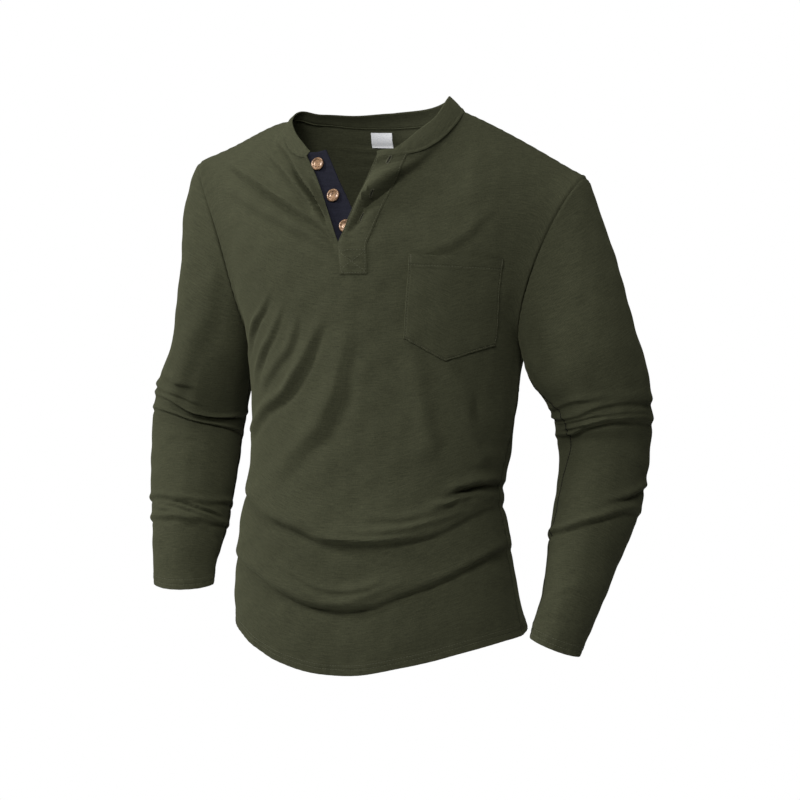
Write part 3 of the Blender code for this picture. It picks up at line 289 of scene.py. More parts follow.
# Where the worn cloth lies beside the plain form: x and z of a place, radius, how far it moves in x and z
SETTLE = (
    (-0.231, -0.055, 0.038, -0.0054, 0.0058),  # the wearer's right shoulder stands squarer
    (-0.246, -0.105, 0.034, -0.0045, 0.0000),
    (-0.1005, 0.0085, 0.022, 0.0000, -0.0060),  # the neckband's corners at the shoulders
    (0.0938, 0.0200, 0.024, -0.0060, 0.0000),
    (0.256, -0.528, 0.046, 0.0048, 0.0000),  # the wearer's left forearm
    (0.222, -0.390, 0.022, 0.0035, 0.0000),
)
BODY_ASIDE = 0.0016  # the body below the chest lies this much further to the wearer's left
ASIDE_BEGINS = (0.33, 0.40)  # between these depths below the neck
CREASE_STEPS = 81  # places along a crease's line
UNEVEN = 0.0009  # height of the cloth's slight waves
PUFF = 0.0009  # how far the cloth stands up beside a seam and sinks at it

# ---- grids of the fine surfaces: stops, and the steps between them ----
HEM_TO_CHEST_STEPS = (0.0009, 0.0022, 0.0027)  # metres; close at the hem for its stitching
CHEST_TO_NECK_STEPS = (0.012, 0.0095, 0.0095, 0.0060)  # shares of the height; close at the neck seam
PANEL_COLUMNS = {
    1: (
        ((-1, -0.96, -0.5, SLIT_ACROSS - 0.04, SLIT_ACROSS), (0.006, 0.0155, 0.011, 0.005)),
        (
            (SLIT_ACROSS, SLIT_ACROSS + 0.02, PLACKET_ACROSS - 0.012, PLACKET_ACROSS + 0.008, 0.5, 0.96, 1),
            (0.005, 0.010, 0.004, 0.0155, 0.0155, 0.006),
        ),
    ),
    -1: (((-1, -0.96, -0.5, 0.5, 0.96, 1), (0.006, 0.0155, 0.0140, 0.0155, 0.006)),),
}
SLEEVE_ANGLE_STEPS = (3.0, 1.25, 3.0)
CAP_STEPS = (0.010, 0.026)
SLEEVE_RING_STEPS = (0.0012, 0.0024, 0.0012, 0.0024, 0.0009)
ONTO_SEAM = (0.80, 1.0)  # shares of a panel between which it is brought onto its seams
BESIDE_SEAM = (0.86, 1.0)  # and between which its creases die away and its sides are joined
ENDS = ((0, -1), (-1, 1))  # a panel's first column lies on the wearer's right, its last on the left
FIND_STEPS = 40  # of Newton's method
SHARP_FROM = 55  # degrees; a steeper edge isn't smoothed

# ---- hems and seams ----
HEM_STITCH_ROWS = (0.0070, 0.0116)  # distance of the twin stitching above the hem
CUFF_STITCH_ROWS = (0.0060, 0.0125)
NECK_STITCH = 0.0030  # distance of the line below the neck seam
NECK_FOOT = 0.0030  # how far the neckband reaches down behind the panels' edge
HEM_DEPTH = 0.0135
CUFF_DEPTH = 0.0146

# ---- what is sewn on ----
SLIT_BOW = 0.0026  # how far the wearer's right edge of the slit bows to the left
SLIT_BEFORE, SLIT_BEYOND = -17, 8  # columns between which the step across the slit is taken
SLIT_NORMALS = slice(-43, -8)  # columns whose mean normal the navy band takes
PLACKET_SEWN = 0.0022  # distance of the stitching inside the buttonhole band's edges
PLACKET_BOX = 0.028  # top of the crossed box above the band's lower end
SLIT_FACING = 0.0008  # the slit's free edge is turned in, 5 mm wide and this much thicker
UNDER_WIDTH = 0.0310  # the navy band, from the slit's edge
UNDER_TUCK = 0.006  # how far it reaches behind that edge
UNDER_DEPTH = 0.0016 + 0.0012  # how deep it lies there, and how much deeper further on
UNDER_SINK = 0.0052
UNDER_TOP = 1.024
UNDER_SLANT = 1.5  # the top edge climbs away from the slit
STEADY_BELOW = 0.88  # above this the band keeps its direction
BUTTON_OFF = 0.0012
BUTTON_RADIUS = 0.0075
BUTTON_THICKNESS = 0.0026
BUTTON_SIDES = 48
BUTTONS = ((0.966, 0.0096), (0.787, 0.0128), (0.612, 0.0140))  # height, distance from the slit's edge
BUTTON_PROFILE = (  # share of the radius, share of the thickness
    (0.00, 0.40), (0.34, 0.40), (0.56, 0.46), (0.66, 0.62), (0.74, 0.90), (0.82, 1.00), (0.90, 0.94),
    (0.97, 0.74), (1.00, 0.50), (0.97, 0.20), (0.86, 0.04), (0.60, 0.00), (0.00, 0.00),
)
BUTTONHOLES = (0.962, 0.775, 0.648)  # heights of the buttonholes' middles on the band
BUTTONHOLE_LENGTH = 0.0104
BUTTONHOLE_ACROSS = 0.47  # share of the band's width
SLIT_SIDES = 8
# x and z in front view: top inner, top outer, bottom outer, point, bottom inner
POCKET_CORNERS = ((0.066, -0.168), (0.162, -0.173), (0.149, -0.270), (0.104, -0.288), (0.060, -0.262))
POCKET_HEM = 0.014
POCKET_HEM_SEWN = 0.0022  # distance of the hem's stitching above the hem's lower edge
POCKET_SEWN = 0.0020
LABEL_ACROSS = (-0.096, -0.013)
LABEL_HEIGHTS = (0.905, 0.978)

# ---- stitches ----
STITCH_LENGTH = 0.0024
STITCH_GAP = 0.0008
# length of the dark pieces that paint the shadow in each sleeve seam's groove; their radius is set two lines
# below
SEAM_SHADOW_DASH = 0.0034
STITCH_RADIUS = 0.00030
SEAM_SHADOW_RADIUS = 0.00055
SATIN_RADIUS = 0.00022
# share of half the stitch's length, share of its radius
STITCH_RINGS = ((-0.86, 0.62), (-0.45, 1.0), (0.45, 1.0), (0.86, 0.62))
STITCH_SIDES = 6

# ---- colours, as shares of light given back ----
OLIVE = (0.050, 0.052, 0.0290)
OLIVE_THREAD = (0.102, 0.103, 0.064)
NAVY = (0.0125, 0.0130, 0.0215)
HORN_LIGHT = (0.52, 0.31, 0.17)
HORN_DARK = (0.060, 0.026, 0.014)
LABEL_WHITE = (0.97, 0.98, 1.0)
FLOOR = (0.80, 0.80, 0.80)
OLIVE_RIB = 0.0013  # width of one rib of the knit
NAVY_RIB = 0.0010

# ---- camera and light ----
CAMERA_TURN = 20.0
CAMERA_AWAY = 3.2
PIXELS_PER_METRE = 860.0  # at the object
PICTURE = 800.0
CAMERA_HEIGHT = -0.331
CAMERA_SHIFT = 0.01395  # of its target, to the right in the picture
SENSOR = 36.0
FLOOR_HEIGHT = -1.05
LAMPS = (  # name, metres from the target to the right, towards the camera and up, size, power
    ("side", -2.3, 0.1, 1.2, 0.8, 41.0),
    ("key", -0.9, 2.2, 1.5, 0.8, 30.0),
    ("front", 0.2, 1.9, 1.6, 0.8, 15.0),
    ("top", 0.0, 0.3, 2.2, 1.0, 9.0),
)


def bell(x, width):
    """1 at zero, falling away on either side over the width."""
    return np.exp(-((x / width) ** 2))


def ease(x, low, high):
    """0 below low, 1 above high, smooth between."""
    t = np.clip((x - low) / (high - low), 0, 1)
    return t * t * (3 - 2 * t)


def rounded_edge(distance, radius):
    """How full a wall is near its edge: a quarter circle from 0 at the edge to 1 one radius in."""
    return np.sqrt(np.clip(1 - np.clip(1 - distance / radius, 0, 1) ** 2, 0, 1))


def puckers(along, spacing, wander, pace):
    """A wave along a seam, about one spacing long, whose spacing wanders."""
    return np.sin(2 * np.pi * along / spacing + wander * np.sin(pace * along))


def cubic(start, leave, end, arrive, t):
    """A cubic from start to end that leaves and arrives with the given slopes."""
    first = start * (1 + 2 * t) * (1 - t) ** 2 + leave * t * (1 - t) ** 2
    return first + end * t * t * (3 - 2 * t) - arrive * t * t * (1 - t)


def follow(keys, values, at):
    """A smooth curve through a table: cubic pieces whose slopes come from the rows on either side."""
    keys = np.asarray(keys, float)
    values = np.asarray(values, float)
    slope = np.gradient(values, keys, axis=0)
    at = np.clip(np.asarray(at, float), keys[0], keys[-1])
    i = np.clip(np.searchsorted(keys, at, side="right") - 1, 0, len(keys) - 2)
    span = keys[i + 1] - keys[i]
    t = (at - keys[i]) / span
    for _ in range(values.ndim - 1):
        span = span[..., None]
        t = t[..., None]
    return cubic(values[i], slope[i] * span, values[i + 1], slope[i + 1] * span, t)


def read(table, at, number=1):
    """A numbered column of a table, at any value of its first column."""
    table = np.array(table, float)
    return follow(table[:, 0], table[:, number], at)


def in_metres(rows):
    """Rows of millimetres as metres."""
    return [np.round(np.array(row) / 1000, 7) for row in rows]


def graded(stops, steps):
    """Values from the first stop to the last; between two stops they lie about one step apart."""
    runs = [
        np.linspace(a, b, max(1, int(round(abs(b - a) / step))), endpoint=False)
        for a, b, step in zip(stops, stops[1:], steps)
    ]
    return np.concatenate([*runs, [stops[-1]]])


def nearest(values, wanted):
    """Index of the value closest to the wanted one."""
    return int(np.argmin(np.abs(values - wanted)))


def unit(vectors):
    """Vectors divided by their length."""
    return vectors / np.maximum(np.linalg.norm(vectors, axis=-1, keepdims=True), 1e-12)


def stack(*parts):
    """Coordinates put side by side as points."""
    return np.stack(np.broadcast_arrays(*parts), axis=-1).astype(float)


def run_length(points, axis):
    """Distance walked along one axis of a grid of points, 0 at its first row or column."""
    steps = np.linalg.norm(np.diff(points, axis=axis), axis=-1)
    start = np.zeros_like(np.take(steps, [0], axis=axis))
    return np.concatenate([start, np.cumsum(steps, axis=axis)], axis=axis)


def ringed(grid):
    """A grid with its first column again after its last."""
    return np.concatenate([grid, grid[:, :1]], axis=1)


# ---------------------------------------------------------------- neck ring and armholes


def neck_ring(angle):
    """The seam between the body and the neckband: an ellipse in plan, its height from the table."""
    a = np.radians(angle)
    deep = np.where(np.cos(a) > 0, NECK_FRONT, NECK_BACK)
    turn = np.abs((np.asarray(angle, float) + 180) % 360 - 180)
    return stack(NECK_X + NECK_HALF_WIDTH * np.sin(a), NECK_Y - deep * np.cos(a), read(NECK_HEIGHT, turn))


def armhole(side, angle):
    """The armhole loop: 0 degrees at the shoulder tip, 90 at the front, 180 underarm, 270 at the back."""
    a = np.radians(angle)
    up = (1 + np.cos(a)) / 2
    bottom = body_section(1, np.array(float(side)), np.array(0.0))
    front = np.sin(a) > 0
    dip = np.where(front, ARMHOLE_DIP_FRONT[side], ARMHOLE_DIP_BACK)
    reach = np.where(front, ARMHOLE_FRONT[side], ARMHOLE_BACK)
    loop = bottom + (np.array(SHOULDER_TIP[side]) - bottom) * up[..., None]
    return loop - stack(side * dip * np.sin(a) ** 2, reach * np.sin(a), 0 * a)


def armhole_beside(side, facing, height):
    """The armhole along a panel's edge, from the underarm at height 0 to the shoulder tip at 1."""
    return armhole(side, 180 * (1 - facing * height))


# ---------------------------------------------------------------- front and back panels


def body_section(facing, across, down):
    """A point on the body below the underarm: a rounded ellipse from the table, rows dropped towards
    the middle so that they run with the shirt-tail hem."""
    half, front, back, centre_x, centre_y = (read(BODY, down, number) for number in range(1, 6))
    a = across * np.pi / 2
    power = 2 / SQUARENESS
    x = centre_x + half * np.sign(a) * np.abs(np.sin(a)) ** power
    y = centre_y - facing * (front if facing > 0 else back) * np.abs(np.cos(a)) ** power
    tail = TAIL_DROP[facing] * np.maximum(np.cos(a), 0) ** TAIL_POWER
    drop = (tail + HEM_TILT * np.sin(a)) * ease(down, *TAIL_BEGINS)
    return stack(x, y, UNDERARM_Z - np.sign(a) * UNDERARM_TILT * np.abs(across) ** 4 - down - drop)


def top_edge(facing, across, slit):
    """The panel's upper edge: the neck ring in the middle and the shoulder seams outside it.  slit is
    -1 or 1 for the open slit's two sides, 0 for the back or with the slit buttoned."""
    inner = np.clip(across, -NECK_ACROSS, NECK_ACROSS)
    if facing > 0:
        angle = read(NECK_STOPS[slit], inner)
    else:
        angle = -180 - inner / NECK_ACROSS * (180 - NECK_SIDE)
    ring = neck_ring(angle)
    out = np.clip((np.abs(across) - NECK_ACROSS) / (1 - NECK_ACROSS), 0, 1)
    right = across < 0
    tip = np.where(right[..., None], SHOULDER_TIP[-1], SHOULDER_TIP[1])
    seam = ring + (tip - ring) * out[..., None]
    seam[..., 2] += np.where(right, SHOULDER_ARCH[-1], SHOULDER_ARCH[1]) * np.sin(np.pi * out)
    return seam


def cubic_column(facing, across, height, leave, arrive):
    """One cubic from the underarm row to the top edge, leaving and arriving in the given directions."""
    foot = body_section(facing, across, np.zeros_like(across))
    top = top_edge(facing, across, 0)
    reach = COLUMN_REACH * np.linalg.norm(top - foot, axis=-1)[..., None]
    return cubic(foot, leave * reach, top, arrive * reach, height[..., None])


def upper_body(facing, across, height):
    """Above the underarm, slit buttoned: each column is one cubic from the underarm row to the top
    edge.  Towards the sides it is pulled onto the armhole."""
    lean = 1 if facing > 0 else 2
    over, rise, middle = (read(COLUMN_LEAN, np.abs(across), number) for number in (lean, 3, 4))
    up = np.array((0.0, -facing * COLUMN_LEAVES, 1.0))
    curve = cubic_column(facing, across, height, up, stack(-np.sign(across) * middle, facing * over, rise))
    end = stack(0.0, facing * COLUMN_LEAN[-1][lean], COLUMN_LEAN[-1][3])
    for side in (-1, 1):
        plain = cubic_column(facing, np.full_like(across, float(side)), height, up, end)
        inside = 1 - side * across
        begin = np.where(inside < 1e-6, 1.0, ease(height, 0, 0.02 + 0.5 * np.clip(inside, 0, 1)))
        weight = ease(side * across, 0.10, 1.0) * begin
        curve = curve + weight[..., None] * (armhole_beside(side, facing, height) - plain)
    return curve


def between(points, keys):
    """Where straight lines between its two neighbours would put each inner row of a grid."""
    share = ((keys[1:-1] - keys[:-2]) / (keys[2:] - keys[:-2]))[:, None, None]
    return points[:-2] * (1 - share) + points[2:] * share


def control_grid(facing):
    """The panel's plain form, slit buttoned: a coarse grid of points, evened out above the waist."""
    shoulder = np.linspace(NECK_ACROSS, 1, SIDE_COLUMNS + 1)
    if facing > 0:
        left = np.linspace(-NECK_ACROSS, SLIT_ACROSS, FRONT_COLUMNS + 1)
        right = np.linspace(PLACKET_ACROSS, NECK_ACROSS, FRONT_COLUMNS + 1)
        middle = np.concatenate([left, [(SLIT_ACROSS + PLACKET_ACROSS) / 2], right])
    else:
        middle = np.linspace(-NECK_ACROSS, NECK_ACROSS, BACK_COLUMNS + 1)
    across = np.concatenate([-shoulder[:0:-1], middle, shoulder[1:]])
    below = np.linspace(1, 0, CONTROL_ROWS + 1)[:-1]
    above = np.linspace(0, 1, UPPER_ROWS + 1)
    low = body_section(facing, *np.broadcast_arrays(across[None, :], below[:, None] * HEM_DOWN))
    high = upper_body(facing, *np.broadcast_arrays(across[None, :], above[:, None]))
    points = np.concatenate([low, high])
    lengths = np.concatenate([-below * HEM_DOWN, above * CHEST_RISE])
    first = int(np.searchsorted(lengths, -RELAX_DOWN))
    for _ in range(RELAX_PASSES):
        by_row = between(points[:, 1:-1], lengths)
        by_column = between(points[1:-1].transpose(1, 0, 2), across).transpose(1, 0, 2)
        inner = points[1:-1, 1:-1] + 0.5 * ((by_row + by_column) / 2 - points[1:-1, 1:-1])
        points[first:-1, 1:-1] = inner[first - 1:]
    return {"across": across, "height": np.concatenate([-below, above]), "points": points}


def panel(control, facing, across, height, slit):
    """The plain form at any columns and rows: height runs from -1 at the hem to 0 at the underarm and
    1 at the top.  The slit's two sides part in proportion to the height above its end."""
    rows = follow(control["height"], control["points"], height)
    grid = follow(control["across"], rows.transpose(1, 0, 2), across).transpose(1, 0, 2)
    parted = np.clip((height - SLIT_END) / (1 - SLIT_END), 0, 1)[:, None, None]
    return grid + (top_edge(facing, across, slit) - top_edge(facing, across, 0))[None] * parted


def sleeve_lengths(side):
    """Distance down the sleeve's middle line of each row of its table."""
    return run_length(np.array(SLEEVES[side])[:, :3], 0)


def sleeve_row(side, along, angle):
    """A ring of the sleeve: an ellipse square to the arm's line, from the table.  Near the cuff it
    turns towards the way the opening faces."""
    keys = sleeve_lengths(side)
    table = np.array(SLEEVES[side])
    ahead = follow(keys, table[:, :3], along + RING_TURN) - follow(keys, table[:, :3], along - RING_TURN)
    turned = ease(along, keys[-1] - CUFF_TURN, keys[-1])[..., None]
    ahead = unit(unit(ahead) * (1 - turned) + unit(np.array(CUFF_FACING[side])) * turned)
    forward = np.array((0.0, -1.0, 0.0))
    front = unit(forward - (ahead @ forward)[..., None] * ahead)
    outward = np.cross(ahead, front) * side
    outward = outward * np.sign(outward[..., :1] * side)
    centre = follow(keys, table[:, :3], along)
    across, depth = (follow(keys, table[:, number], along)[..., None] for number in (3, 4))
    a = np.radians(angle)[..., None]
    return centre + across * np.cos(a) * outward + depth * np.sin(a) * front


# ---------------------------------------------------------------- creases


def crease(x):
    """Height across a crease, x in widths to the right of its line: a round ridge at -0.36 that falls
    steeply through the line into a narrow trough at 0.16 and comes back gently."""
    ridge = bell(x + 0.36, np.where(x < -0.36, 0.50, 0.24))
    trough = bell(x - 0.16, np.where(x < 0.16, 0.15, 0.36))
    return ridge - 0.50 * trough


def crease_height(table, u, v):
    """Sum of the creases at points (u, v): each follows a smooth line through its pairs, wanders and
    swells along it, and dies away towards both ends."""
    total = np.zeros(np.broadcast(u, v).shape)
    for number, (height, width, *line) in enumerate(table):
        stops = np.array(line).reshape(-1, 2)
        low = stops.min(axis=0) - 3 * width
        high = stops.max(axis=0) + 3 * width
        near_by = (u > low[0]) & (u < high[0]) & (v > low[1]) & (v < high[1])
        if not near_by.any():
            continue
        t = np.linspace(0, 1, CREASE_STEPS)
        path = follow(np.linspace(0, 1, len(stops)), stops, t)
        off_u = u[near_by][:, None] - path[:, 0]
        off_v = v[near_by][:, None] - path[:, 1]
        near = np.argmin(off_u**2 + off_v**2, axis=-1)
        along_u, along_v = np.gradient(path, axis=0)[near].T
        size = np.hypot(along_u, along_v)
        du = np.take_along_axis(off_u, near[:, None], -1)[:, 0]
        dv = np.take_along_axis(off_v, near[:, None], -1)[:, 0]
        right = (du * along_v - dv * along_u) / size
        ahead = (du * along_u + dv * along_v) / size
        place = t[near]
        wander = 0.08 * np.sin(9.0 * place + number) + 0.03 * np.sin(23.0 * place + 2.0 * number)
        swell = 1 + 0.16 * np.sin(7.0 * place + 1.7 * number)
        fade = np.sin(np.pi * np.clip(0.015 + 0.97 * place, 0, 1)) ** 0.75
        total[near_by] += height * swell * fade * bell(ahead, width) * crease(right / width + wander)
    return total


def unevenness(points):
    """Slight waves that no crease table holds: three crossed pairs of sines in x, y and z."""
    x, y, z = points[..., 0], points[..., 1], points[..., 2]
    waves = np.sin(57 * x + 31 * z + 0.4) * np.sin(44 * z - 23 * y + 1.1)
    waves = waves + 0.6 * np.sin(95 * x - 60 * z + 2.0) * np.sin(83 * z + 41 * y)
    waves = waves + 0.35 * np.sin(150 * x + 120 * y + 90 * z) * np.sin(128 * z - 77 * x)
    return UNEVEN * waves


def puff(distance, along):
    """How a sewn edge stands: sunk at the seam itself, highest 3 mm from it, gone by 12 mm, and
    gathered slightly every 12 mm or so along the seam."""
    swell = (1 - bell(distance, 0.0018)) * bell(distance, 0.0085)
    gather = 1 + 0.45 * puckers(along, 0.0125, 2.2, 41)
    return PUFF * swell * gather - PUFF * bell(distance, 0.0012)


def turned_hem(distance, along, depth, lines):
    """A turned-up edge: double cloth up to depth, pressed in along each line of stitching, puckered
    between the stitches."""
    raised = 0.00050 * (1 - ease(distance, depth - 0.0012, depth + 0.0012))
    pressed = sum(bell(distance - line, 0.0011) for line in lines)
    slack = 0.00022 * puckers(along, 0.0105, 1.8, 33) * bell(distance, 1.6 * depth)
    return raised - 0.00045 * pressed + slack


# ---------------------------------------------------------------- meshes


def numbered(rows, columns):
    """The vertex numbers of a grid."""
    return np.arange(rows * columns).reshape(rows, columns)


def grid_faces(index):
    """Four-sided faces of a grid of vertex numbers."""
    return np.stack([index[:-1, :-1], index[:-1, 1:], index[1:, 1:], index[1:, :-1]], -1).reshape(-1, 4)


def spindle_faces(rings, sides):
    """A closed skin of rings of points: faces round every ring, and a fan to a pole at each end.  The
    two poles are numbered after the rings."""
    loop = ringed(numbered(rings, sides))
    poles = [
        np.stack([here, beyond, np.full(sides, rings * sides + number), here], -1)
        for number, (here, beyond) in enumerate(((loop[0, :-1], loop[0, 1:]), (loop[-1, 1:], loop[-1, :-1])))
    ]
    return np.concatenate([grid_faces(loop)[:, ::-1], *poles])


def point_normals(points, faces):
    """The mean of the face normals round each point, weighted by area."""
    corner = points[faces]
    flat = np.cross(corner[:, 2] - corner[:, 0], corner[:, 3] - corner[:, 1])
    total = np.zeros_like(points)
    for k in range(4):
        for axis in range(3):
            total[:, axis] += np.bincount(faces[:, k], flat[:, axis], len(points))
    return unit(total)


def rim_faces(faces, count):
    """Faces that join each open edge of a grid to the same edge of its copy."""
    edges = np.concatenate([faces[:, [k, (k + 1) % 4]] for k in range(4)])
    edges = edges[edges[:, 0] != edges[:, 1]]
    key = edges[:, 0] * count + edges[:, 1]
    twin = edges[:, 1] * count + edges[:, 0]
    free = edges[~np.isin(key, twin)]
    return np.stack([free[:, 1], free[:, 0], free[:, 0] + count, free[:, 1] + count], -1)


def add_object(name, points, faces, material, uv=None):
    """A named mesh object, smooth but for its sharp edges, its cloth coordinates in a UV map."""
    mesh = bpy.data.meshes.new(name)
    polygons = faces.tolist()
    if (faces[:, :1] == faces[:, 1:]).any() or (faces[:, 1:] == np.roll(faces, 1, axis=1)[:, 1:]).any():
        polygons = [list(dict.fromkeys(face)) for face in polygons]
    mesh.from_pydata(points.tolist(), [], polygons)
    mesh.validate()
    if uv is not None:
        corner = np.zeros(len(mesh.loops), dtype=np.int32)
        mesh.loops.foreach_get("vertex_index", corner)
        layer = mesh.uv_layers.new(name="cloth")
        layer.data.foreach_set("uv", uv[corner].astype(np.float32).ravel())
    mesh.materials.append(material)
    mesh.shade_smooth()
    mesh.set_sharp_from_angle(angle=np.radians(SHARP_FROM))
    piece = bpy.data.objects.new(name, mesh)
    bpy.context.scene.collection.objects.link(piece)
    return piece


def add_wall(name, outer, faces, inward, material, uv):
    """A closed wall: the outer points, the same points moved by inward, and the strip between them."""
    count = len(outer)
    points = np.concatenate([outer, outer + inward])
    every = np.concatenate([faces, faces[:, ::-1] + count, rim_faces(faces, count)])
    return add_object(name, points, every, material, np.concatenate([uv, uv]))


def at_index(grid, row, col):
    """Values of a grid at fractional rows and columns, straight between its points."""
    row = np.clip(row, 0, grid.shape[0] - 1.000001)
    col = np.clip(col, 0, grid.shape[1] - 1.000001)
    i = row.astype(int)
    j = col.astype(int)
    a = (row - i)[..., None]
    b = (col - j)[..., None]
    top = grid[i, j] * (1 - b) + grid[i, j + 1] * b
    low = grid[i + 1, j] * (1 - b) + grid[i + 1, j + 1] * b
    return top * (1 - a) + low * a


def find_index(grid, x, z):
    """Rows and columns of a grid that lie at (x, z) in front view, by Newton's steps."""
    row = np.full(x.shape, grid.shape[0] * 0.6)
    col = np.full(x.shape, grid.shape[1] * 0.5)
    for _ in range(FIND_STEPS):
        here = at_index(grid, row, col)
        by_row = (at_index(grid, row + 1.5, col) - at_index(grid, row - 1.5, col)) / 3
        by_col = (at_index(grid, row, col + 1.5) - at_index(grid, row, col - 1.5)) / 3
        dx = x - here[..., 0]
        dz = z - here[..., 2]
        area = by_row[..., 0] * by_col[..., 2] - by_row[..., 2] * by_col[..., 0]
        area = np.where(np.abs(area) < 1e-9, 1e-9, area)
        row = row + np.clip((dx * by_col[..., 2] - dz * by_col[..., 0]) / area, -12, 12)
        col = col + np.clip((by_row[..., 0] * dz - by_row[..., 2] * dx) / area, -12, 12)
        row = np.clip(row, 1.6, grid.shape[0] - 2.7)
        col = np.clip(col, 1.6, grid.shape[1] - 2.7)
    return row, col


# ---------------------------------------------------------------- panels and sleeves


def settled(points):
    """The points moved by the table of places: each pulls its surroundings along, less with distance."""
    moved = points.copy()
    for x, z, radius, aside, up in SETTLE:
        pull = np.exp(-((points[..., 0] - x) ** 2 + (points[..., 2] - z) ** 2) / radius**2)
        moved[..., 0] += aside * pull
        moved[..., 2] += up * pull
    return moved


def outer_ends(half):
    """The ends of a grid's columns that are the panel's side edges: which end, and its side."""
    return [(end, side) for end, side in ENDS if half[end] == side]


def plain_panel(facing, rows, halves):
    """The plain form on each grid of a panel.  Its upper and side edges are brought exactly onto the
    seams, the wearer's right edge of the slit bows a little, and the worn cloth settles."""
    control = control_grid(facing)
    slits = (-1, 1) if facing > 0 else (0,)
    parts = []
    for half, slit in zip(halves, slits):
        part = panel(control, facing, half, rows, slit)
        part = part + (top_edge(facing, half, slit) - part[-1])[None] * ease(rows, *ONTO_SEAM)[:, None, None]
        if slit < 0:
            bow = np.sin(np.pi * np.clip((rows - 0.44) / 0.54, 0, 1))[:, None]
            part[..., 0] += SLIT_BOW * (bow * bell(half - SLIT_ACROSS, 0.10))
        for end, side in outer_ends(half):
            off = armhole_beside(side, facing, np.clip(rows, 0, 1)) - part[:, end]
            off = off * (rows >= 0)[:, None]
            part = part + off[:, None] * ease(side * half, *ONTO_SEAM)[None, :, None]
        part = settled(part)
        part[..., 0] += BODY_ASIDE * ease(-part[..., 2], *ASIDE_BEGINS)
        parts.append(part)
    return parts


def shape_panel(facing):
    """The creased surface of a panel: its grids as one list of points, each with its distances from
    the panel's edges, lifted along its normal by creases, seams and the hem."""
    low = graded((HEM_DOWN, HEM_DOWN - 0.018, 0.115, 0.0), HEM_TO_CHEST_STEPS)
    high = graded((0.0, BAND_END, SLIT_END, 0.93, 1.0), CHEST_TO_NECK_STEPS)
    rows = np.concatenate([-low[:-1] / HEM_DOWN, high])
    halves = [graded(*columns) for columns in PANEL_COLUMNS[facing]]
    numbers = []
    for half in halves:
        numbers.append(sum(grid.size for grid in numbers) + numbered(len(rows), len(half)))
    if facing > 0:
        below_slit = slice(nearest(rows, SLIT_END) + 1)
        numbers[1][below_slit, 0] = numbers[0][below_slit, -1]
    faces = np.concatenate([grid_faces(grid) for grid in numbers])[:, ::facing]
    used, packed = np.unique(faces, return_inverse=True)
    faces = packed.reshape(faces.shape)
    numbers = [np.searchsorted(used, grid) for grid in numbers]
    points = np.concatenate([part.reshape(-1, 3) for part in plain_panel(facing, rows, halves)])[used]
    across = np.concatenate([np.tile(half, len(rows)) for half in halves])[used]
    height = np.concatenate([np.repeat(rows, len(half)) for half in halves])[used]

    up, down, sideways = np.zeros((3, len(points)))
    from_side = np.full(len(points), 1.0)
    for grid, half in zip(numbers, halves):
        climbed = run_length(points[grid], 0)
        walked = run_length(points[grid], 1)
        up[grid] = climbed
        down[grid] = climbed[-1:] - climbed
        sideways[grid] = walked - walked[:, [nearest(half, SLIT_ACROSS)]]
        for end, _ in outer_ends(half):
            from_side[grid] = np.minimum(from_side[grid], np.abs(walked - walked[:, [end]]))

    by_armhole = ease(np.abs(across), *BESIDE_SEAM) * ease(height, -0.05, 0.1)
    calm = 1 - np.maximum(by_armhole, ease(height, *BESIDE_SEAM))
    if facing > 0:
        near_slit = (1 - ease(np.abs(sideways), 0.002, 0.009)) * ease(height, BAND_END, SLIT_END)
        calm = calm * (1 - 0.85 * near_slit)
    folds = FRONT_FOLDS if facing > 0 else BACK_FOLDS
    lift = crease_height(in_metres(folds), points[:, 0], points[:, 2]) * calm
    lift += unevenness(points) * calm * ease(from_side, 0.0, 0.03)
    lift += puff(from_side, up) + puff(down, sideways)
    lift += turned_hem(up, sideways, HEM_DEPTH, HEM_STITCH_ROWS)
    if facing > 0:
        turned_in = (1 - ease(-sideways, 0.0040, 0.0058)) * (sideways < 1e-6)
        lift += SLIT_FACING * (turned_in * ease(height, SLIT_END - 0.01, SLIT_END + 0.04))
    points = points + point_normals(points, faces) * lift[:, None]
    return {
        "points": points, "faces": faces, "normals": point_normals(points, faces), "grids": numbers,
        "rows": rows, "halves": halves, "up": up, "down": down, "uv": np.stack([sideways, up], -1),
    }


def shift_hem(shape):
    """The hem hangs unevenly: it is moved up or down from the plain curve by direction, most at the
    edge itself."""
    points = shape["points"]
    move = read(HEM_SHIFT, np.degrees(np.arctan2(points[:, 1], points[:, 0])))
    points[:, 2] += move * (1 - ease(shape["up"], 0.0, 0.07))


def join_sides(front, back):
    """Below the underarm the two panels' side edges are brought to their common middle, and the cloth
    within 14 hundredths of the edge follows.  Along the joint both take their normals' mean."""
    pieces = (front, back)
    count = nearest(front["rows"], 0) + 1
    sides = [(end, side, [piece["grids"][end][:count, end] for piece in pieces]) for end, side in ENDS]
    for end, side, edges in sides:
        middle = (front["points"][edges[0]] + back["points"][edges[1]]) / 2
        for piece, edge in zip(pieces, edges):
            off = middle - piece["points"][edge]
            weight = ease(side * piece["halves"][end], *BESIDE_SEAM)
            piece["points"][piece["grids"][end][:count]] += off[:, None] * weight[None, :, None]
    for piece in pieces:
        piece["normals"] = point_normals(piece["points"], piece["faces"])
    for end, side, edges in sides:
        shared = unit(front["normals"][edges[0]] + back["normals"][edges[1]])
        for piece, edge in zip(pieces, edges):
            piece["normals"][edge] = shared


